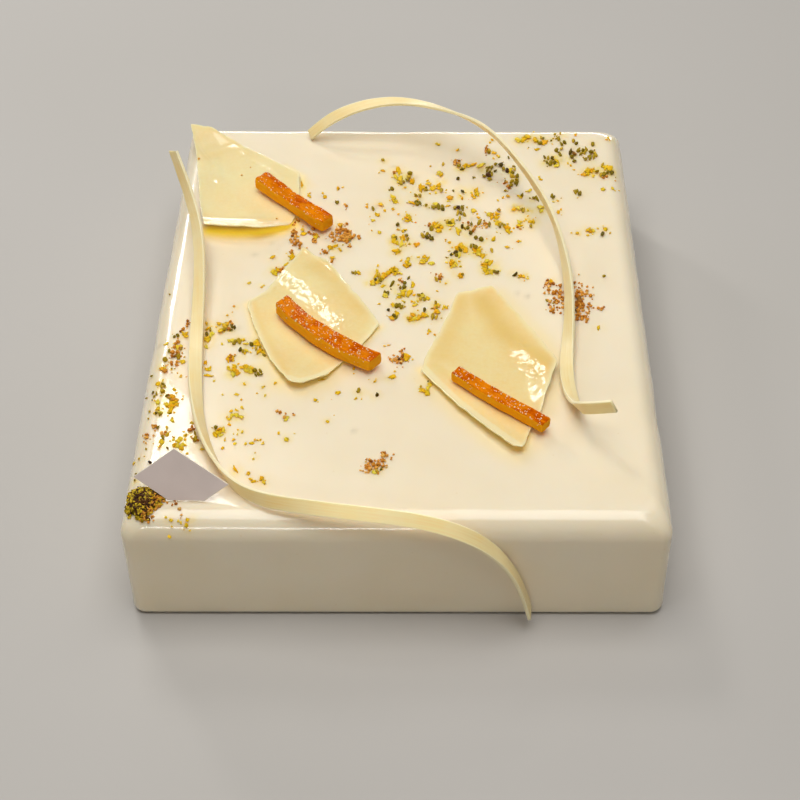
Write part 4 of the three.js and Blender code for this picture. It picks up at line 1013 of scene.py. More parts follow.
ZEST = [
    (70.6, 104.5, 1.7, 0.7, 50), (84.2, 103.1, 2.4, 0.8, 103), (50.6, 102.9, 3, 2.5, 154), (49, 100.6, 3.9, 2.2, 84),
    (53.6, 100.6, 3.4, 1.9, 114), (35.8, 100.6, 1.5, 0.8, 109), (46.5, 100, 2.8, 2.4, 68), (57.3, 98.9, 3.5, 2.3, 81),
    (13.7, 97.1, 1.3, 1.3, 86), (54.2, 94, 2.3, 1.8, 158), (21.7, 93.4, 2, 0.8, 81), (36.5, 91.8, 2.4, 1.6, 120),
    (38.4, 88.7, 1.4, 0.9, 87), (61.9, 85.5, 3.2, 1.3, 116), (27.5, 83.2, 2.4, 1.7, 67), (25.9, 82.7, 2.6, 1.7, 107),
    (31, 82.7, 4.2, 1.5, 43), (67.3, 82.6, 1.4, 0.8, 107), (61.5, 82.5, 2.9, 1.9, 65), (24.5, 81.9, 2.7, 1.4, 83),
    (81, 81.4, 3.3, 2.1, 74), (82.8, 80.1, 2.5, 2.1, 96), (73.5, 79.7, 3, 1, 59), (75.7, 79.4, 3.4, 1.9, 86),
    (42.5, 79.2, 3.7, 1.4, 76), (74.1, 79, 2.4, 1.4, 65), (-8.8, 78.8, 1.7, 1.4, 110), (-2.4, 78.3, 4.2, 1.5, 98),
    (13.9, 77.1, 3.7, 1.4, 79), (73.8, 77, 2.3, 1.4, 72), (72.6, 76.5, 2.6, 1.4, 87), (14.8, 76.3, 3.3, 1.3, 71),
    (-3.5, 74.1, 3.1, 1.3, 111), (-1.7, 73.4, 3.7, 1.8, 88), (54.7, 73.2, 1.4, 1.1, 124), (3.2, 71.3, 3.5, 1.7, 94),
    (9.7, 70, 2.8, 1.9, 85), (-40.8, 69.7, 4.1, 0.8, 93), (13.8, 69.4, 2.6, 1.5, 80), (7.5, 67.6, 2.8, 1.8, 85),
    (0.4, 67.6, 1.3, 0.9, 91), (83.1, 67.6, 1.9, 1.1, 78), (13.9, 67.3, 2.2, 2.1, 23), (79.3, 66.9, 2.2, 1.5, 76),
    (-26.2, 66.8, 2.2, 1.1, 100), (11.4, 66.6, 3.2, 1.8, 50), (6.6, 66.2, 3.6, 1.4, 100), (28.6, 65.9, 3.4, 1.3, 72),
    (50, 65.8, 2.3, 1.1, 51), (12.6, 64.2, 1.4, 0.7, 111), (29.1, 63.6, 2.9, 1.7, 85), (27.4, 62.2, 1.7, 1.5, 86),
    (41.3, 62, 1.9, 1.4, 127), (-37.5, 61.9, 2.6, 0.9, 119), (45.8, 61.8, 2.4, 1.5, 116), (-31.3, 61.5, 2.3, 1.3, 97),
    (-4.4, 61.4, 2.6, 1.6, 115), (39.2, 61.2, 1.3, 0.9, 87), (27.9, 61.1, 2.4, 1.2, 57), (18.4, 61, 2.6, 2.2, 29),
    (23, 60.7, 2, 0.8, 89), (60.8, 59.2, 1.3, 0.7, 108), (-4.3, 59.1, 2.5, 1.4, 81), (17.6, 58.6, 1.1, 1.2, 64),
    (-3.3, 58.5, 2.7, 1.5, 81), (3.6, 57.2, 2.5, 1.4, 111), (12.9, 56.8, 2.5, 2, 142), (-9.1, 56.2, 2.7, 1.5, 108),
    (17.3, 55.9, 1.9, 1.1, 18), (-14.6, 54.8, 1.5, 1, 92), (53.5, 54.8, 2.1, 1.9, 135), (44.9, 54.1, 3.3, 1.6, 98),
    (43.4, 53.7, 3, 1.3, 68), (-4.2, 53.5, 1.8, 1.1, 91), (48.8, 52.9, 1.3, 0.8, 86), (27.6, 52.8, 2.7, 1.9, 95),
    (54, 52.6, 2.7, 1.5, 70), (60.6, 51.7, 1.7, 1, 71), (36.4, 50.6, 2.1, 1.9, 38), (33.2, 50.3, 2, 1.4, 95),
    (34.5, 50.2, 2.3, 1.5, 74), (-10.3, 50, 2.6, 1.5, 129), (1.9, 49.2, 2.2, 1.6, 132), (36.1, 48.5, 2.3, 1.5, 87),
    (34.7, 48.3, 2.8, 1.3, 78), (29.2, 48.2, 1.2, 1.2, 41), (1.2, 47.9, 2.3, 1.7, 107), (2.5, 47, 2.6, 1.2, 86),
    (-11.8, 46.4, 1.7, 1.3, 113), (50.4, 46.1, 2.9, 1.2, 92), (1.3, 46, 2, 1.5, 137), (19.1, 46, 3.1, 1.4, 97),
    (49.3, 45.6, 2.2, 1.4, 94), (45, 45.6, 2.6, 1.3, 116), (36.5, 44.8, 2.9, 1.5, 87), (12.2, 44.1, 3.2, 1.7, 70),
    (18.5, 43.4, 3, 1.5, 177), (14.4, 43.4, 2.1, 1.3, 132), (44.9, 43.2, 2.5, 1.5, 32), (-24.4, 43.2, 2.9, 1.4, 123),
    (13, 42.4, 3.1, 1.7, 81), (40.2, 41.7, 2.2, 1.9, 107), (14.6, 41.7, 1.8, 1.5, 67), (78.2, 41.3, 2.3, 1.5, 119),
    (71.6, 40.7, 2.8, 1.4, 57), (-1.9, 40.4, 1.3, 1, 130), (-38.9, 40.2, 2.4, 1.1, 99), (73.3, 40.1, 2.2, 1.4, 105),
    (13.5, 39.9, 2.7, 2, 115), (72.3, 39.7, 1.9, 1.4, 96), (21.5, 39.6, 4.2, 1.7, 99), (0, 39.6, 2, 1.4, 84),
    (40.4, 39.4, 2.8, 1.7, 92), (-9.2, 38.9, 2, 1.2, 117), (67.3, 38.6, 1.8, 1.1, 72), (-38.3, 37.7, 2.6, 2, 30),
    (-33.6, 36.5, 3.6, 1.5, 90), (-3.7, 36.2, 2.1, 1.8, 54), (-0.1, 35.4, 3.3, 1.6, 100), (34.7, 34.7, 2.3, 1.3, 90),
    (-3.5, 33.6, 2.5, 1.4, 94), (44.1, 33.6, 1.7, 1, 86), (17.8, 32.6, 1.2, 1.2, 13), (-2.4, 32, 2.2, 1.4, 100),
    (-0.4, 31.8, 4, 1.2, 81), (5.1, 31.4, 2.5, 1.9, 57), (21.7, 30.8, 3, 1.4, 77), (-25.7, 30.4, 2.3, 1.3, 50),
    (39.9, 29.9, 1.6, 1.3, 108), (22.8, 29.8, 2.4, 1.8, 81), (-27.7, 29.4, 2.2, 1.6, 100), (20.5, 28.7, 2.9, 1.5, 74),
    (-23.9, 28.1, 2.9, 1, 113), (23.9, 27.8, 2.7, 1.7, 88), (-2.4, 27.6, 2.7, 1.9, 39), (29, 27.5, 3, 1.5, 107),
    (27.7, 27.3, 3.2, 1.2, 107), (-1.7, 26.5, 2.8, 1.1, 44), (28.8, 25.5, 2.2, 1.7, 100), (21.6, 24.9, 2.9, 1.2, 97),
    (30.4, 24.4, 3, 1.6, 95), (8.3, 23.9, 2, 1.5, 117), (-41.9, 23.4, 3.5, 1.6, 66), (-49.3, 23.4, 2.1, 1.5, 58),
    (-26.5, 23.3, 2.3, 1.8, 54), (9.2, 22.5, 3.3, 1.1, 73), (2.2, 22.2, 2.8, 1.3, 93), (7.7, 21.9, 1.9, 1.7, 166),
    (-0.4, 21.6, 1.3, 0.7, 67), (18.9, 21.3, 2.6, 1.4, 105), (32, 21.2, 1.8, 1.6, 109), (7.5, 20.4, 1.9, 1.7, 116),
    (33.1, 20.4, 3, 1.4, 66), (1.7, 20.1, 2.7, 1.5, 96), (18.2, 20, 2.5, 1.1, 94), (10.8, 20, 2.2, 1.9, 131),
    (31.4, 19.7, 2.1, 1.5, 124), (20.1, 19.3, 2.9, 1.3, 96), (-43.7, 19.2, 2.3, 1, 55), (2.7, 19.1, 2.4, 1.3, 76),
    (19, 18.7, 2.1, 1.6, 92), (31.1, 18.5, 2.7, 1.5, 153), (1.3, 18.3, 2.4, 1.4, 122), (-2.6, 16.5, 2.5, 1.8, 117),
    (31.1, 15.8, 2.5, 1.3, 83), (-46.8, 15.7, 2.7, 1.7, 96), (-3.7, 15.5, 2.6, 1.3, 83), (33.4, 15.2, 3.3, 1.3, 96),
    (32.1, 15.1, 3.5, 1.4, 73), (-9.4, 14.8, 2.4, 0.9, 98), (-1.4, 14.4, 2.1, 1.4, 107), (-48, 14.2, 3.6, 1.9, 110),
    (-16.3, 14.2, 2.2, 1.3, 123), (-7.1, 14.1, 1.1, 1.1, 168), (-2.7, 13.8, 2.3, 1.4, 82), (-9.7, 12.8, 3.4, 1.1, 72),
    (21.9, 12.8, 2.7, 1.4, 89), (44.4, 12.8, 1.7, 1.3, 132), (45.4, 12.5, 2.2, 1.1, 93), (55.7, 9.4, 1.7, 1.2, 131),
    (-11.3, 8.9, 3.2, 1.2, 74), (16.4, 8.2, 1.2, 0.8, 89), (-10.5, 8, 2.2, 1.4, 68), (-56.8, 7.9, 1.4, 1.1, 16),
    (4.1, 7.2, 3.1, 1.2, 85), (-7, 6.8, 1.6, 1.2, 48), (-52, 5.7, 1.2, 0.7, 70), (0.6, 3.7, 2.5, 1.7, 39),
    (2.7, 2.2, 3.4, 1.5, 65), (-0.9, 1.9, 1.8, 1.3, 0), (0.4, 1.7, 2.3, 1.6, 91), (7.7, 1.1, 2.6, 1.3, 91),
    (-6.2, 0.9, 2.3, 1.7, 119), (-0.8, 0.4, 1.9, 1.4, 142), (9.6, -0.4, 2.1, 1.4, 111), (3.7, -2.2, 1.2, 0.9, 134),
    (-3.1, -4, 1.9, 1.3, 109), (5, -4.2, 2.1, 0.9, 31), (12.4, -4.3, 1.5, 1.2, 65), (13.5, -4.4, 1.9, 1, 98),
    (16.3, -5.2, 2.3, 1.1, 105), (-61.4, -5.2, 1.1, 0.8, 98), (12.8, -8.1, 2.5, 2.3, 29), (-1.7, -9.1, 2.7, 1.7, 113),
    (4.3, -9.6, 2.1, 1.7, 93), (8.6, -9.9, 2.7, 2.4, 80), (-63.3, -10.2, 1.2, 0.7, 119), (6.3, -11, 2.9, 1.9, 73),
    (3.1, -11.5, 2, 1.3, 49), (-3.5, -11.5, 2.7, 1.4, 106), (4.8, -11.6, 2.3, 1.7, 101), (3.5, -12.4, 2, 1.1, 41),
    (-65.9, -14.7, 2, 1.2, 113), (-62.8, -14.9, 2.6, 1.5, 111), (-70.4, -14.9, 1.9, 0.7, 95), (-63.7, -15.9, 2.4, 1.7, 113),
    (71.5, -16.6, 2.4, 1, 85), (-69.8, -17.4, 2, 0.9, 58), (10.2, -18.3, 2, 0.9, 118), (-65, -18.7, 3, 1.5, 99),
    (-77, -19.9, 1.6, 1, 112), (12.2, -20.5, 1.2, 0.7, 115), (-77.8, -20.7, 1.8, 1.1, 112), (-68, -20.8, 3.2, 1.6, 89),
    (-76.9, -21.6, 2, 1, 97), (-69.3, -23.1, 2.9, 2.1, 86), (-56.8, -23.5, 1.9, 1.3, 150), (-60.8, -24, 2.3, 1.9, 124),
    (-51.7, -24.4, 2.8, 1.2, 64), (-83.9, -25.2, 1.7, 1, 171), (-55.6, -25.6, 1.4, 0.8, 148), (-51.3, -25.7, 2.2, 2.1, 11),
    (-4.2, -26, 1.3, 0.8, 32), (-78.6, -26.8, 1.7, 1.1, 148), (-69.3, -27.2, 1.8, 1.1, 100), (-79.6, -27.6, 1.9, 1.1, 91),
    (-54.8, -29.3, 2.2, 1.1, 140), (-50.1, -29.7, 3.1, 1.5, 76), (-48.9, -30.3, 2.3, 1.2, 100), (-55.3, -30.4, 1.8, 1.2, 92),
    (2.5, -32.8, 3.2, 2.1, 91), (-59.3, -33, 3.3, 0.7, 97), (-61.2, -33.8, 3.2, 1, 99), (-76.9, -34.9, 2.3, 1.4, 152),
    (-68.8, -35.6, 1.9, 1, 97), (-58.5, -37.5, 2.1, 1.5, 146), (-54, -37.8, 1.9, 1.5, 134), (-82.9, -37.9, 1.5, 1, 85),
    (-55.4, -38.2, 2.3, 1.5, 118), (-67, -38.2, 2.2, 1, 95), (-16.3, -38.4, 1.4, 0.9, 110), (-52.7, -38.5, 2.4, 1.6, 108),
    (-83.8, -38.7, 2.4, 1.5, 106), (-67.8, -39, 2.3, 1.2, 132), (-59.9, -39.2, 3, 1.2, 129), (-58.2, -39.6, 1.8, 1.6, 78),
    (-53.8, -39.6, 1.9, 1.6, 104), (-52.4, -40.4, 1.9, 1.4, 125), (-57.1, -40.9, 2.8, 1.3, 93), (-58.4, -41.5, 2.5, 1.4, 118),
    (-67.2, -42.3, 2.7, 0.9, 173), (-76.8, -42.5, 1.5, 1, 113), (-2.7, -42.8, 2.4, 1.7, 31), (-27.3, -44.2, 2.2, 0.8, 13),
    (-64.8, -44.9, 1.1, 0.7, 70), (-8.7, -45.1, 1.1, 0.7, 65), (-43.4, -46.2, 1.5, 0.7, 84), (-84.2, -46.2, 1.8, 1.5, 112),
    (10.6, -46.5, 1.9, 1.3, 112), (-54.1, -46.5, 1.6, 0.8, 120), (-47.5, -48, 1.5, 1.1, 74), (9.8, -48.6, 2.4, 1, 86),
    (-78.1, -49.3, 1.3, 1, 103), (8.3, -49.7, 2.3, 1.5, 99), (9.6, -50.9, 2.5, 1.6, 97), (-21.3, -51, 1.8, 1.6, 100),
    (-56.4, -51.8, 1.7, 1.2, 167), (-46.5, -52.2, 1.4, 0.7, 84), (-78.6, -52.8, 2.3, 1.4, 147), (-15.1, -53.8, 1.1, 1, 173),
    (-28.8, -54.5, 1.3, 1.1, 99), (-77.2, -54.6, 2.6, 1.4, 95), (-83.2, -55.4, 2.3, 1.3, 92), (-78.5, -56, 2, 1.6, 147),
    (-76.6, -56.5, 2.1, 1.6, 93), (-79.9, -57.1, 2.4, 1.5, 96), (-78.3, -57.9, 1.9, 1.9, 55), (-82.6, -58.8, 1.8, 1.4, 72),
    (-55.7, -59.7, 1.5, 0.7, 143), (-78.4, -59.9, 2.8, 1.4, 89), (-81.8, -60.6, 2.1, 1.2, 139), (-55.6, -62.1, 2.2, 1.5, 95),
    (-57, -62.3, 2.5, 1.2, 99), (-53.9, -63, 2.2, 1.4, 129), (-38.4, -63.8, 2.4, 1.3, 63), (-57.9, -63.9, 1.3, 1.2, 68),
    (-77.2, -64.3, 2.5, 1.2, 98), (-24.3, -65.1, 1.1, 1, 172), (-70.4, -65.8, 1.3, 1, 111), (-60.6, -68.9, 1.5, 1.3, 142),
    (-59.3, -69.3, 2.7, 0.9, 103), (-52.9, -70.2, 1.4, 0.7, 73), (-60.1, -70.4, 1.8, 1.3, 99), (-61.3, -70.5, 2.4, 1.4, 119),
    (-61.8, -71.6, 2.8, 1.1, 118), (-60, -71.8, 2.2, 0.9, 41), (-71.8, -71.8, 1.5, 1.3, 166), (-73.4, -73.5, 2, 1.4, 114),
    (-37.7, -73.7, 2, 1.5, 115), (-46.5, -73.8, 1, 0.7, 67), (-55.5, -73.9, 1.4, 1, 113), (-74.2, -74.5, 2, 1.5, 103),
    (-79.5, -75, 2.2, 1.5, 103), (-49.2, -75.3, 1.4, 1.3, 59), (-72.5, -76.1, 2, 1.2, 83), (-73.9, -76.4, 2.3, 1.4, 106),
    (-75.1, -76.7, 1.7, 1.1, 114), (-79.9, -77.2, 2.4, 0.9, 80), (-58.8, -77.8, 1.4, 1, 100), (-72.6, -78.1, 2, 1.6, 121),
    (-65.6, -78.3, 1.3, 1.2, 130), (-48.1, -82.7, 1, 0.7, 66), (-53.8, -87.8, 2.8, 0.9, 123), (-7.9, -88.8, 2, 1.1, 130),
    (-49.3, -89.5, 1.4, 1.2, 91), (-44.6, -91.7, 1.9, 1.2, 96), (-47.3, -93.1, 1.5, 0.9, 6), (-43.9, -93.2, 2.2, 1, 102),
    (-67.4, -108.5, 1.2, 1.1, 122), (-73, -108.6, 0.9, 0.7, 67), (-70.4, -108.9, 0.9, 0.7, 103), (-67.7, -110, 1.2, 1.1, 60),
]
CRUMBLE = [
    (33.3, 93.1, 3, 1.8, 85), (22.2, 84.6, 3, 2.3, 87), (20.5, 84.2, 4.2, 1.6, 84), (-4, 77.4, 2.3, 2.3, 92),
    (80.6, 74.4, 3, 1.3, 39), (40.4, 70.9, 2.7, 1.8, 32), (41.5, 68.1, 2.9, 2.6, 130), (-23, 55.7, 2.5, 2.2, 135),
    (-41.1, 46.1, 2.3, 1.9, 157), (32, 44.4, 2.2, 1.3, 84), (-42.2, 43.8, 2.7, 1.3, 63), (25.3, 43.8, 2.3, 1.6, 91),
    (-21.5, 43.8, 1.7, 1.3, 72), (32.9, 43.5, 1.8, 0.7, 107), (10.1, 43.2, 2.8, 1.8, 89), (31.5, 43.1, 4.2, 1, 103),
    (32.3, 42.6, 1.3, 1, 129), (45, 41.6, 2.3, 2.2, 136), (-24.2, 40.9, 2.5, 1.9, 89), (27.5, 40.8, 4, 1.4, 73),
    (-35, 40.2, 1.7, 1.6, 112), (-25.6, 40, 1.8, 1.4, 157), (-21, 39.4, 2, 1.6, 34), (-41.5, 38.9, 2.4, 1.8, 132),
    (-35.9, 37.9, 2.8, 1.1, 136), (-27.2, 37.6, 1.7, 1.4, 96), (-34.1, 36.9, 1.7, 1.4, 97), (-42.5, 36.8, 3.1, 1.6, 87),
    (-20.4, 36.6, 3.4, 2.2, 103), (-22.7, 35.9, 2.4, 2.1, 95), (-27.2, 35.8, 2.2, 1.1, 78), (-16.9, 35.6, 2.7, 1.9, 101),
    (-41.4, 34.7, 2.6, 1.4, 89), (-21.2, 34.2, 3.3, 1.8, 76), (-24.1, 33.8, 2.3, 2.1, 42), (-26.4, 33.8, 2.6, 1.9, 59),
    (-42.6, 33.2, 2.8, 1.9, 106), (-34.2, 33.1, 2.4, 1.5, 91), (-33.3, 32.9, 2.9, 1.4, 102), (-40.5, 31.3, 3.6, 1.6, 72),
    (-20.3, 30.4, 2.3, 1.3, 109), (-39.2, 30.1, 4.2, 1.3, 79), (-29.2, 26.7, 3.3, 1.3, 111), (-42.1, 26.4, 2.6, 1.1, 103),
    (-30, 26.3, 2.1, 1.7, 96), (-26.5, 21.1, 2.4, 1.2, 109), (-45, 16.5, 2.6, 1, 64), (-45.8, 15.3, 2.4, 1.2, 72),
    (14.1, 11.3, 3.2, 1.5, 100), (13, 10.9, 1.9, 1.2, 103), (-0.4, 9.5, 2.5, 1.5, 120), (54, 9, 3.5, 1.3, 74),
    (55.1, 8.2, 2.5, 1.9, 134), (59.4, 8, 1.7, 0.7, 77), (64.8, 5.5, 2.9, 0.7, 99), (54.3, 5.4, 2.7, 1.4, 72),
    (68.7, 3.2, 2.5, 1.8, 78), (57, 3.1, 2.7, 1.6, 73), (58.7, 3.1, 3.2, 1.4, 68), (65.2, 2.7, 2.4, 1.7, 78),
    (55.8, 2.4, 2.2, 1.8, 104), (66.7, 1.9, 3.3, 1.3, 90), (69.9, 1.2, 2, 1.7, 100), (58.3, 0.8, 2.6, 1.6, 73),
    (65.2, 0.5, 2.2, 1.9, 97), (59, -0.2, 2.6, 1.1, 71), (56.6, -0.9, 2.3, 1.9, 137), (66.4, -3.2, 3.5, 1.7, 86),
    (64.6, -3.6, 3.2, 1.5, 85), (69.3, -4, 2.7, 1.5, 99), (56, -5, 3.3, 0.7, 86), (68.2, -5.1, 1.7, 1.1, 129),
    (72.8, -5.7, 2.5, 1.7, 161), (12, -6.1, 2, 1.1, 97), (54.4, -6.6, 3.2, 1.2, 88), (65, -6.8, 3.5, 1.9, 70),
    (68.8, -6.9, 2.4, 0.9, 88), (55.5, -7.5, 2.4, 1.4, 88), (64.7, -9.4, 2.3, 2, 112), (67, -10.6, 2.1, 1.6, 119),
    (65.9, -11.4, 2.9, 1.5, 83), (64.3, -11.5, 2.4, 1.5, 76), (67.5, -12.6, 2.5, 1.6, 81), (-61.7, -14.3, 2.7, 1.2, 111),
    (-77.3, -14.8, 4.2, 1.2, 87), (-62, -17.5, 1.9, 1.5, 94), (-78.8, -18.6, 2.8, 2.1, 56), (-79.4, -24.9, 2.1, 1.8, 163),
    (-80.4, -26.5, 2.6, 1.3, 69), (-78.7, -28.1, 2.3, 0.9, 89), (0.6, -30.2, 3, 1.6, 110), (-79.3, -30.5, 2.1, 1.7, 152),
    (-2.6, -31.3, 1.5, 0.7, 101), (-80.9, -31.5, 3.4, 1.6, 97), (-60.4, -31.9, 1.8, 1.2, 56), (0.5, -32.7, 2.6, 1.6, 50),
    (-1.4, -33.2, 3.3, 1.1, 75), (-60.1, -33.9, 2.8, 1.5, 95), (-3.2, -34.2, 2.3, 1.3, 146), (-0.9, -34.3, 2.3, 1.3, 92),
    (0.7, -34.4, 2.6, 1.5, 74), (-0.4, -35.6, 2.3, 1.3, 2), (-80.7, -36.1, 2.5, 2.2, 110), (-78.9, -36.1, 2.8, 1.9, 82),
    (-82.1, -40.2, 1.9, 1.8, 79), (-78.4, -54.4, 1.6, 1.1, 103), (-41.3, -60.4, 2.3, 1.8, 128), (-38.8, -63.1, 2, 1.4, 73),
    (-82.2, -67.5, 2.1, 1.4, 73), (-83.4, -67.6, 2.4, 1.5, 112), (-69.8, -68.4, 2.3, 1.3, 120), (-70.5, -69.5, 1.8, 1.7, 174),
    (-78.5, -70.4, 1.7, 1.2, 54), (-79.9, -71.1, 2.5, 1.7, 110), (-84.6, -71.4, 2.1, 1.2, 89), (-85.1, -72.4, 2.1, 1.4, 134),
    (-68.5, -73.7, 1.7, 1.3, 82), (-4.3, -80.9, 2.8, 1.4, 119), (-5.1, -81.4, 2.2, 1.6, 116), (-2.5, -82.5, 1.1, 0.8, 143),
    (-9.6, -83.4, 2, 1.1, 79), (-5.2, -83.4, 2.3, 1.7, 89), (-6.5, -83.5, 1.8, 1.2, 78), (-8.9, -84.3, 2.2, 1.4, 69),
    (-6.3, -85.5, 2, 1.6, 88), (-8.2, -85.8, 1.9, 1.6, 81), (-4.9, -86.3, 2, 1.3, 123), (-10.5, -86.5, 2.3, 1.3, 93),
    (-9.2, -86.7, 2.7, 1.4, 122), (-7.1, -87.2, 2.1, 1.6, 2), (-9.5, -88.2, 1.7, 1.4, 92), (-71.5, -103.3, 2.2, 1.3, 115),
    (-69.9, -105.4, 1.6, 1.4, 78), (-79.3, -108.5, 3.4, 1, 55),
]


def unit_ball(level):
    bm = bmesh.new()
    bmesh.ops.create_icosphere(bm, subdivisions=level, radius=1.0)
    v = np.array([x.co[:] for x in bm.verts])
    f = [tuple(x.index for x in q.verts) for q in bm.faces]
    bm.free()
    return v, f


def chip_shapes(rng, count, level, cuts, near, rough, seed):
    """Unit lumps, 2 across each way: a ball cut by planes, with a soft unevenness."""
    ball, faces = unit_ball(level)
    shapes = []
    for i in range(count):
        v = ball.copy()
        for _ in range(cuts):
            nrm = rng.normal(size=3)
            nrm /= np.linalg.norm(nrm)
            dist = rng.uniform(*near)
            h = v @ nrm
            over = h > dist
            v[over] -= np.outer((h[over] - dist) * 0.94, nrm)
        v *= (1 + rough * Waves(seed + i, 0.9, 12)(v) + 0.5 * rough * Waves(seed + 77 + i, 0.4, 12)(v))[:, None]
        v -= (v.max(0) + v.min(0)) / 2
        v /= (v.max(0) - v.min(0)) / 2
        shapes.append(v)
    return shapes, faces


def basis(nrm, angle):
    nrm = nrm / np.linalg.norm(nrm)
    a = math.radians(angle)
    x = np.array([math.cos(a), math.sin(a), 0.0])
    x -= nrm * (x @ nrm)
    x /= np.linalg.norm(x)
    return np.stack([x, np.cross(nrm, x), nrm])


def surface(x, y):
    """Height and normal of the glaze."""
    e = 0.15
    for _ in range(12):
        h = glaze_height([x, x + e, x - e, x, x], [y, y, y, y + e, y - e])
        if h.min() > 37.5:
            break
        x, y = x - math.copysign(0.25, x) * (abs(x) > 86), y - math.copysign(0.25, y) * (abs(y) > 108)
    n = np.array([-(h[1] - h[2]) / (2 * e), -(h[3] - h[4]) / (2 * e), 1.0])
    n /= np.linalg.norm(n)
    z = h[0] + float(top_swell(np.array([[x, y, h[0]]]))[0]) * n[2]
    return x, y, z, n


class Pile:
    """Many small lumps joined as one mesh."""

    def __init__(self, shapes, faces):
        self.shapes, self.faces = shapes, faces
        self.v, self.f, self.tint = [], [], []

    def add(self, rng, pos, nrm, size, angle, tint, tilt=0.2, sink=0.12):
        shape = self.shapes[int(rng.integers(len(self.shapes)))]
        B = basis(np.asarray(nrm, float) + rng.normal(size=3) * tilt, angle)
        flip = np.where(rng.random(3) < 0.5, -1.0, 1.0)
        if flip.prod() < 0:
            flip[2] *= -1
        v = (shape * flip * np.array(size) / 2) @ B
        low = (v @ np.asarray(nrm)).min()
        v = v + np.asarray(pos) - np.asarray(nrm) * (low + sink * size[2])
        self.v.append(v)
        self.f += [tuple(self.count + i for i in q) for q in self.faces]
        self.count += len(v)
        self.tint.append(np.full(len(v), tint))
        return v

    count = 0

    def make(self, name, finish, slot=None, replaces=()):
        V = np.concatenate(self.v)
        return make(name, V, self.f, finish, replaces, {"tint": np.concatenate(self.tint)})


GREENS = [(0.0, display(80, 62, 8)), (0.2, display(112, 94, 12)), (0.45, display(142, 120, 18)), (0.7, display(174, 144, 26)), (1.0, display(214, 176, 50))]
HEAP = [(0.0, display(116, 92, 12)), (0.4, display(158, 130, 20)), (0.7, display(192, 158, 30)), (1.0, display(226, 190, 56))]
SKIN = [(0.0, display(56, 34, 20)), (0.5, display(96, 60, 26)), (1.0, display(150, 104, 36))]
YELLOWS = [(0.0, display(252, 152, 6)), (0.25, display(255, 167, 8)), (0.6, display(255, 183, 16)), (1.0, display(255, 207, 66))]
BROWNS = [(0.0, display(158, 92, 20)), (0.3, display(200, 128, 38)), (0.6, display(228, 158, 60)), (1.0, display(244, 190, 100))]


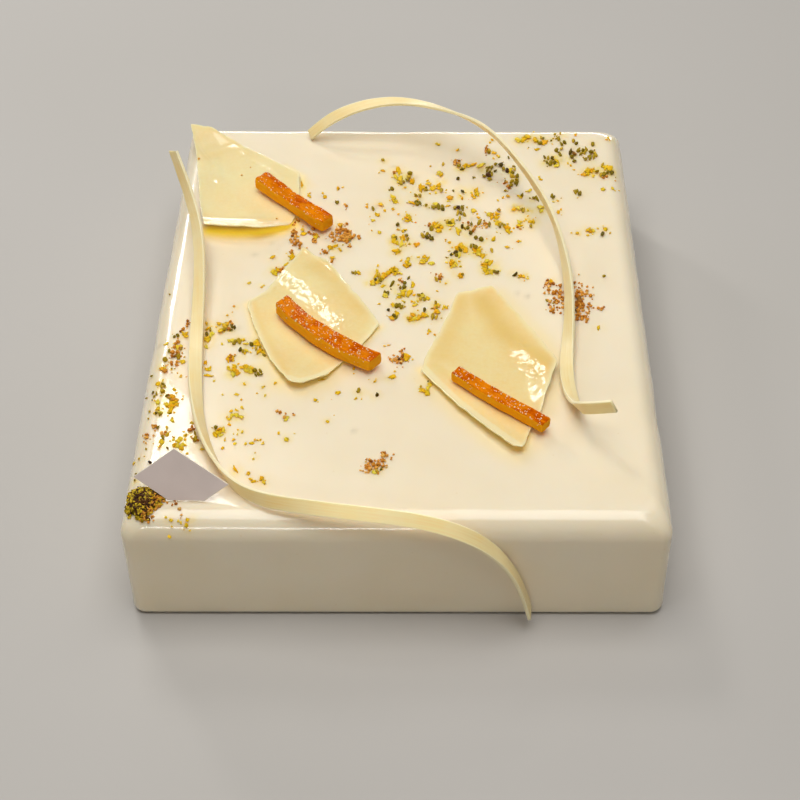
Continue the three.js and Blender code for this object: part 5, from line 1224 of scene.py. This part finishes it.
def scatter(rng, tops):
    nut_shapes, nut_faces = chip_shapes(rng, 22, 3, 10, (0.38, 0.8), 0.07, 1000)
    zest_shapes, zest_faces = chip_shapes(rng, 26, 3, 6, (0.4, 0.85), 0.30, 1200)
    crumb_shapes, crumb_faces = chip_shapes(rng, 22, 3, 7, (0.5, 0.9), 0.17, 1400)
    nuts, skins = Pile(nut_shapes, nut_faces), Pile(nut_shapes, nut_faces)
    zest, crumbs = Pile(zest_shapes, zest_faces), Pile(crumb_shapes, crumb_faces)

    for (x, y, a, b, turn) in PISTACHIO:
        x, y, z, n = surface(x, y)
        nuts.add(rng, (x, y, z), n, (a * 0.83, max(b * 0.88, 0.8), max(0.7, min(b, a) * 0.68)), turn, float(np.clip(rng.normal(0.5, 0.25), 0, 1)))
    for (x, y, a, b, turn) in SKINS:
        x, y, z, n = surface(x, y)
        skins.add(rng, (x, y, z), n, (a, b, b * 0.8), turn, float(rng.random()))
    for (x, y, a, b, turn) in ZEST:
        x, y, z, n = surface(x, y)
        zest.add(rng, (x, y, z), n, (a * 1.28, b * 1.36, max(0.32, 0.22 * b)), turn, float(np.clip(rng.normal(0.55, 0.25), 0, 1)), 0.12)
    for (x, y, a, b, turn) in CRUMBLE:
        x, y, z, n = surface(x, y)
        # a blob of crumble is two or three grains
        steps = max(1, round(a / 1.5))
        t = math.radians(turn)
        for k in range(steps):
            o = (k - (steps - 1) / 2) * a / steps
            px, py = x + o * math.cos(t) + rng.normal() * 0.15, y + o * math.sin(t) + rng.normal() * 0.15
            g = min(b, a / steps) * rng.uniform(0.85, 1.1)
            px, py, pz, pn = surface(px, py)
            crumbs.add(rng, (px, py, pz), pn, (g * 1.08, g, g * 0.85), turn + rng.uniform(-60, 60), float(np.clip(rng.normal(0.45, 0.25), 0, 1)))
    # fine dust round the pieces
    fine_nut, fine_faces = chip_shapes(rng, 10, 2, 5, (0.5, 0.85), 0.12, 1600)
    heap_shapes, heap_faces = chip_shapes(rng, 20, 2, 8, (0.4, 0.8), 0.16, 1800)
    dust = {"nut": Pile(fine_nut, fine_faces), "zest": Pile(fine_nut, fine_faces), "crumb": Pile(fine_nut, fine_faces)}
    for key, rows, many, spread in (("nut", PISTACHIO, 150, 1.8), ("zest", ZEST, 420, 1.7), ("crumb", CRUMBLE, 330, 1.3)):
        for _ in range(many):
            x, y, a, b, turn = rows[int(rng.integers(len(rows)))]
            x, y, z, n = surface(x + rng.normal() * spread, y + rng.normal() * spread)
            g = rng.uniform(0.35, 0.85) if key != "zest" else rng.uniform(0.35, 1.1)
            dust[key].add(rng, (x, y, z), n, (g * 1.3, g, g * (0.7 if key != "zest" else 0.45)), rng.uniform(0, 180),
                          float(np.clip(rng.normal(0.55 if key == "crumb" else 0.75, 0.22), 0, 1)), 0.3)
    # a curl of zest that lies among the nuts
    for k in range(9):
        t = (k - 4) / 4
        px, py = -6.4 + 5.0 * t * math.cos(math.radians(55)), 12.6 + 5.0 * t * math.sin(math.radians(55))
        px, py, pz, pn = surface(px, py)
        zest.add(rng, (px, py, pz), pn, (2.2, 2.3 * (1 - 0.25 * t * t), 1.0), 55 + rng.uniform(-12, 12), 0.5 + 0.1 * rng.normal(), 0.06)
    # a tight group of crumble by the end of the back left stick
    for _ in range(30):
        px, py, pz, pn = surface(max(-26.0, -23.0 + rng.normal() * 1.9), 37.0 + rng.normal() * 1.9)
        g = rng.uniform(0.7, 1.7)
        dust["crumb"].add(rng, (px, py, pz + 0.5 * rng.random()), pn, (g * 1.1, g, g * 0.85), rng.uniform(0, 180), float(rng.uniform(0.2, 0.8)))
    # grains under the foot of the arc
    for _ in range(110):
        px, py, pz, pn = surface(62.5 + rng.normal() * 4.6, -1.5 + rng.normal() * 5.6)
        g = rng.uniform(0.55, 1.3)
        dust["crumb"].add(rng, (px, py, pz), pn, (g * 1.1, g, g * 0.85), rng.uniform(0, 180), float(rng.random()))
    # single specks that lie on the back left sheet
    for (px, py, g) in ((-83.2, 83.9, 1.0), (-65.1, 73.8, 0.9), (-62.0, 79.0, 0.6), (-49.0, 45.0, 0.8)):
        crumbs.add(rng, (px, py, tops["back_left"](px, py)), (0, 0, 1), (g * 1.2, g, g * 0.7), rng.uniform(0, 180), 0.8)

    # the heap on the front left corner: a small core, with real pieces packed over it
    cx, cy, rx, ry, tall = -82.2, -101.9, 6.1, 6.4, 3.1
    edge = lambda b: 1 + 0.09 * np.sin(3 * b + 0.6) + 0.07 * np.sin(5 * b + 2.2) + 0.04 * np.sin(8 * b)

    def heap_height(x, y):
        b = math.atan2((y - cy) / ry, (x - cx) / rx)
        r = math.hypot((x - cx) / rx, (y - cy) / ry) / float(edge(b))
        lump = 0.32 * math.sin(1.3 * x + 0.4) * math.sin(1.1 * y + 1.2) + 0.2 * math.sin(2.4 * x - 1.7 * y)
        return r, max(0.5, (tall - 0.5) * (1 - min(r, 1) ** 2.4) + 0.5 + lump * (1 - min(r, 1) * 0.5))

    core_v, core_n = [], 48
    radii = (0.02, 0.25, 0.5, 0.7, 0.84)
    for upper in (False, True):
        for q in (radii if not upper else radii[::-1]):
            for k in range(core_n):
                b = k / core_n * TAU
                x, y = cx + rx * float(edge(b)) * q * math.cos(b), cy + ry * float(edge(b)) * q * math.sin(b)
                h = float(glaze_height(x, y)[0])
                up = max(0.25, heap_height(x, y)[1] - 0.9) + 0.3 if upper else 0.05
                core_v.append((x, y, h + up))
    core_f = quads(10, core_n) + [tuple(reversed(range(core_n))), tuple(9 * core_n + j for j in range(core_n))]
    core_v = np.array(core_v)
    core_v[:, 2] += 0.12 * Waves(905, 1.6)(core_v) * (np.arange(len(core_v)) >= 5 * core_n)
    make("pistachio_heap_core", core_v, core_f, bits_finish("heap_core", GREENS, 0.6, 0.0, (1, 1, 1)), ["pistachio_clump"],
         {"tint": np.full(len(core_v), 0.12)})

    heap = {"nut": Pile(heap_shapes, heap_faces), "skin": Pile(heap_shapes, heap_faces), "zest": dust["zest"], "crumb": dust["crumb"]}
    for i in range(760):
        b, q = rng.uniform(0, TAU), math.sqrt(rng.uniform(0, 1)) * 0.97
        x, y = cx + rx * float(edge(b)) * q * math.cos(b), cy + ry * float(edge(b)) * q * math.sin(b)
        r, up = heap_height(x, y)
        h = float(glaze_height(x, y)[0])
        if h < 38.5:
            continue
        e = 0.4
        gx = (float(glaze_height(x + e, y)[0]) + heap_height(x + e, y)[1] - float(glaze_height(x - e, y)[0]) - heap_height(x - e, y)[1]) / (2 * e)
        gy = (float(glaze_height(x, y + e)[0]) + heap_height(x, y + e)[1] - float(glaze_height(x, y - e)[0]) - heap_height(x, y - e)[1]) / (2 * e)
        nrm = np.array([-np.clip(gx, -1.2, 1.2), -np.clip(gy, -1.2, 1.2), 1.0])
        nrm /= np.linalg.norm(nrm)
        g = rng.uniform(0.6, 1.35)
        z = h + up - g * 0.75
        lx, ly = (x - cx) / rx, (y - cy) / ry
        turn = rng.uniform(0, 180)
        if (lx > 0.35 and ly < -0.45 and rng.random() < 0.6) or (lx < -0.3 and ly < -0.55 and rng.random() < 0.7):
            continue
        dark = math.exp(-((lx + 0.08) ** 2 + (ly + 0.16) ** 2) / 0.5)
        warm = smooth(0.1, 0.8, lx - 0.35 * ly)
        pick = rng.random()
        size = (g * 1.25, g, g * 0.8)
        if pick < 0.8 * dark:
            v = heap["skin"].add(rng, (x, y, z), nrm, size, turn, float(rng.random()) * 0.5, 0.5)
        elif pick < 0.8 * dark + 0.55 * float(warm):
            v = heap["crumb"].add(rng, (x, y, z), nrm, (g, g * 0.9, g * 0.8), turn, float(rng.uniform(0.2, 0.7)), 0.5)
        elif pick > 0.91:
            v = heap["zest"].add(rng, (x, y, z), nrm, (g * 1.1, g * 0.8, g * 0.5), turn, float(rng.uniform(0.1, 0.8)), 0.5)
        else:
            v = heap["nut"].add(rng, (x, y, z), nrm, size, turn, float(np.clip(rng.normal(0.72, 0.2), 0, 1)), 0.5)

    pistachio = bits_finish("chopped_pistachio", GREENS, 0.55, 0.4, (1.0, 0.9, 0.5))
    zest_finish = bits_finish("citrus_zest", YELLOWS, 0.5, 0.85, (1.0, 0.85, 0.4))
    crumb_finish = bits_finish("baked_crumble", BROWNS, 0.6, 0.15, (1.0, 0.5, 0.25), 0.7, display(112, 60, 20))
    dust["nut"].make("pistachio_dust", pistachio, "pistachio")
    dust["zest"].make("citrus_zest_fine", zest_finish)
    dust["crumb"].make("crumble_fine", crumb_finish)
    nuts.make("pistachio_chopped", pistachio, "pistachio")
    heap["nut"].make("pistachio_heap", bits_finish("pistachio_heap", HEAP, 0.55, 0.4, (1.0, 0.9, 0.5)), "pistachio", ["pistachio_clump"])
    skin_finish = bits_finish("pistachio_skin", SKIN, 0.5, 0.1, (1.0, 0.6, 0.3))
    skins.make("pistachio_skins", skin_finish, "pistachio")
    heap["skin"].make("pistachio_heap_skins", skin_finish, "pistachio", ["pistachio_clump"])
    zest.make("citrus_zest", zest_finish)
    crumbs.make("crumble_grains", crumb_finish)


# ---------------------------------------------------------------- floor, light and camera

def stage():
    me = bpy.data.meshes.new("floor")
    me.from_pydata([(-4, -4, -0.0001), (4, -4, -0.0001), (4, 4, -0.0001), (-4, 4, -0.0001)], [], [(0, 1, 2, 3)])
    floor = bpy.data.objects.new("floor", me)
    bpy.context.scene.collection.objects.link(floor)
    f = Finish("pale_floor")
    f.color(f.mix(f.span(f.noise(300.0, 2.0), 0.3, 0.7), display(184, 179, 171), display(189, 184, 177)))
    f.set(Roughness=0.75)
    me.materials.append(f.m)

    def area(name, az, el, dist, size, power, target=(0, 0, 0.045), color=(1, 1, 1)):
        a, e = math.radians(az), math.radians(el)
        to = Vector(target)
        pos = to + Vector((math.sin(a) * math.cos(e), math.cos(a) * math.cos(e), math.sin(e))) * dist
        data = bpy.data.lights.new(name, "AREA")
        data.shape = "RECTANGLE"
        data.size, data.size_y = size
        data.energy = power
        data.color = color
        ob = bpy.data.objects.new(name, data)
        bpy.context.scene.collection.objects.link(ob)
        ob.location = pos
        ob.rotation_mode = "QUATERNION"
        ob.rotation_quaternion = (to - pos).to_track_quat("-Z", "Y")
        ob.visible_camera = False
        return ob

    # azimuth 0 is behind the cake, positive to the right
    area("rim", -36, 25, 1.1, (0.14, 0.20), 1.6)
    area("back_left", -26, 48, 1.1, (0.22, 0.22), 1.7)
    area("right_back", 50, 54, 1.1, (0.4, 0.4), 0.5)
    area("back_edge", 0, 7, 2.4, (2.2, 0.17), 13.0)
    area("overhead", 186, 86, 1.2, (1.0, 1.0), 13.0)
    area("front_soft", -170, 26, 1.2, (0.34, 0.11), 1.25)
    world = bpy.data.worlds.new("studio")
    bpy.context.scene.world = world
    world.use_nodes = True
    bg = world.node_tree.nodes["Background"]
    bg.inputs[0].default_value = (0.95, 0.97, 1.0, 1.0)
    bg.inputs[1].default_value = 0.05


def camera():
    e, y, r = math.radians(44.0854), math.radians(0.5011), math.radians(0.4591)
    fwd = Vector((math.sin(y) * math.cos(e), math.cos(y) * math.cos(e), -math.sin(e)))
    right = Vector((math.cos(y), -math.sin(y), 0))
    up = right.cross(fwd)
    r2 = right * math.cos(r) + up * math.sin(r)
    u2 = right * -math.sin(r) + up * math.cos(r)
    m = Matrix((( r2.x, u2.x, -fwd.x, 0.011316), (r2.y, u2.y, -fwd.y, -0.463989), (r2.z, u2.z, -fwd.z, 0.439776), (0, 0, 0, 1)))
    data = bpy.data.cameras.new("camera")
    data.sensor_fit = "HORIZONTAL"
    data.sensor_width = 36.0
    data.lens = 1647.272 / 800.0 * 36.0
    data.shift_x = (400.0 - 442.469) / 800.0
    data.shift_y = (404.378 - 400.0) / 800.0
    data.clip_start, data.clip_end = 0.01, 20.0
    data.dof.use_dof = False
    ob = bpy.data.objects.new("camera", data)
    bpy.context.scene.collection.objects.link(ob)
    ob.matrix_world = m
    bpy.context.scene.camera = ob


camera()
stage()
scene = bpy.context.scene
scene.view_settings.view_transform = "Standard"
scene.view_settings.look = "None"
scene.view_settings.exposure = 0.0
scene.view_settings.gamma = 1.0
scene.cycles.use_denoising = True

rng = np.random.default_rng(20)
cake()
sheet_tops = shards()
ribbon_material = ribbon_finish()
ribbon("ribbon_left_strip", "ribbon_left", RIBBON_LEFT, 640, 41, ribbon_material, 1.5, 1.0)
ribbon("ribbon_arc_strip", "ribbon_arc", RIBBON_ARC, 560, 61, ribbon_material)
orange_sticks(rng)
plaque()
scatter(rng, sheet_tops)
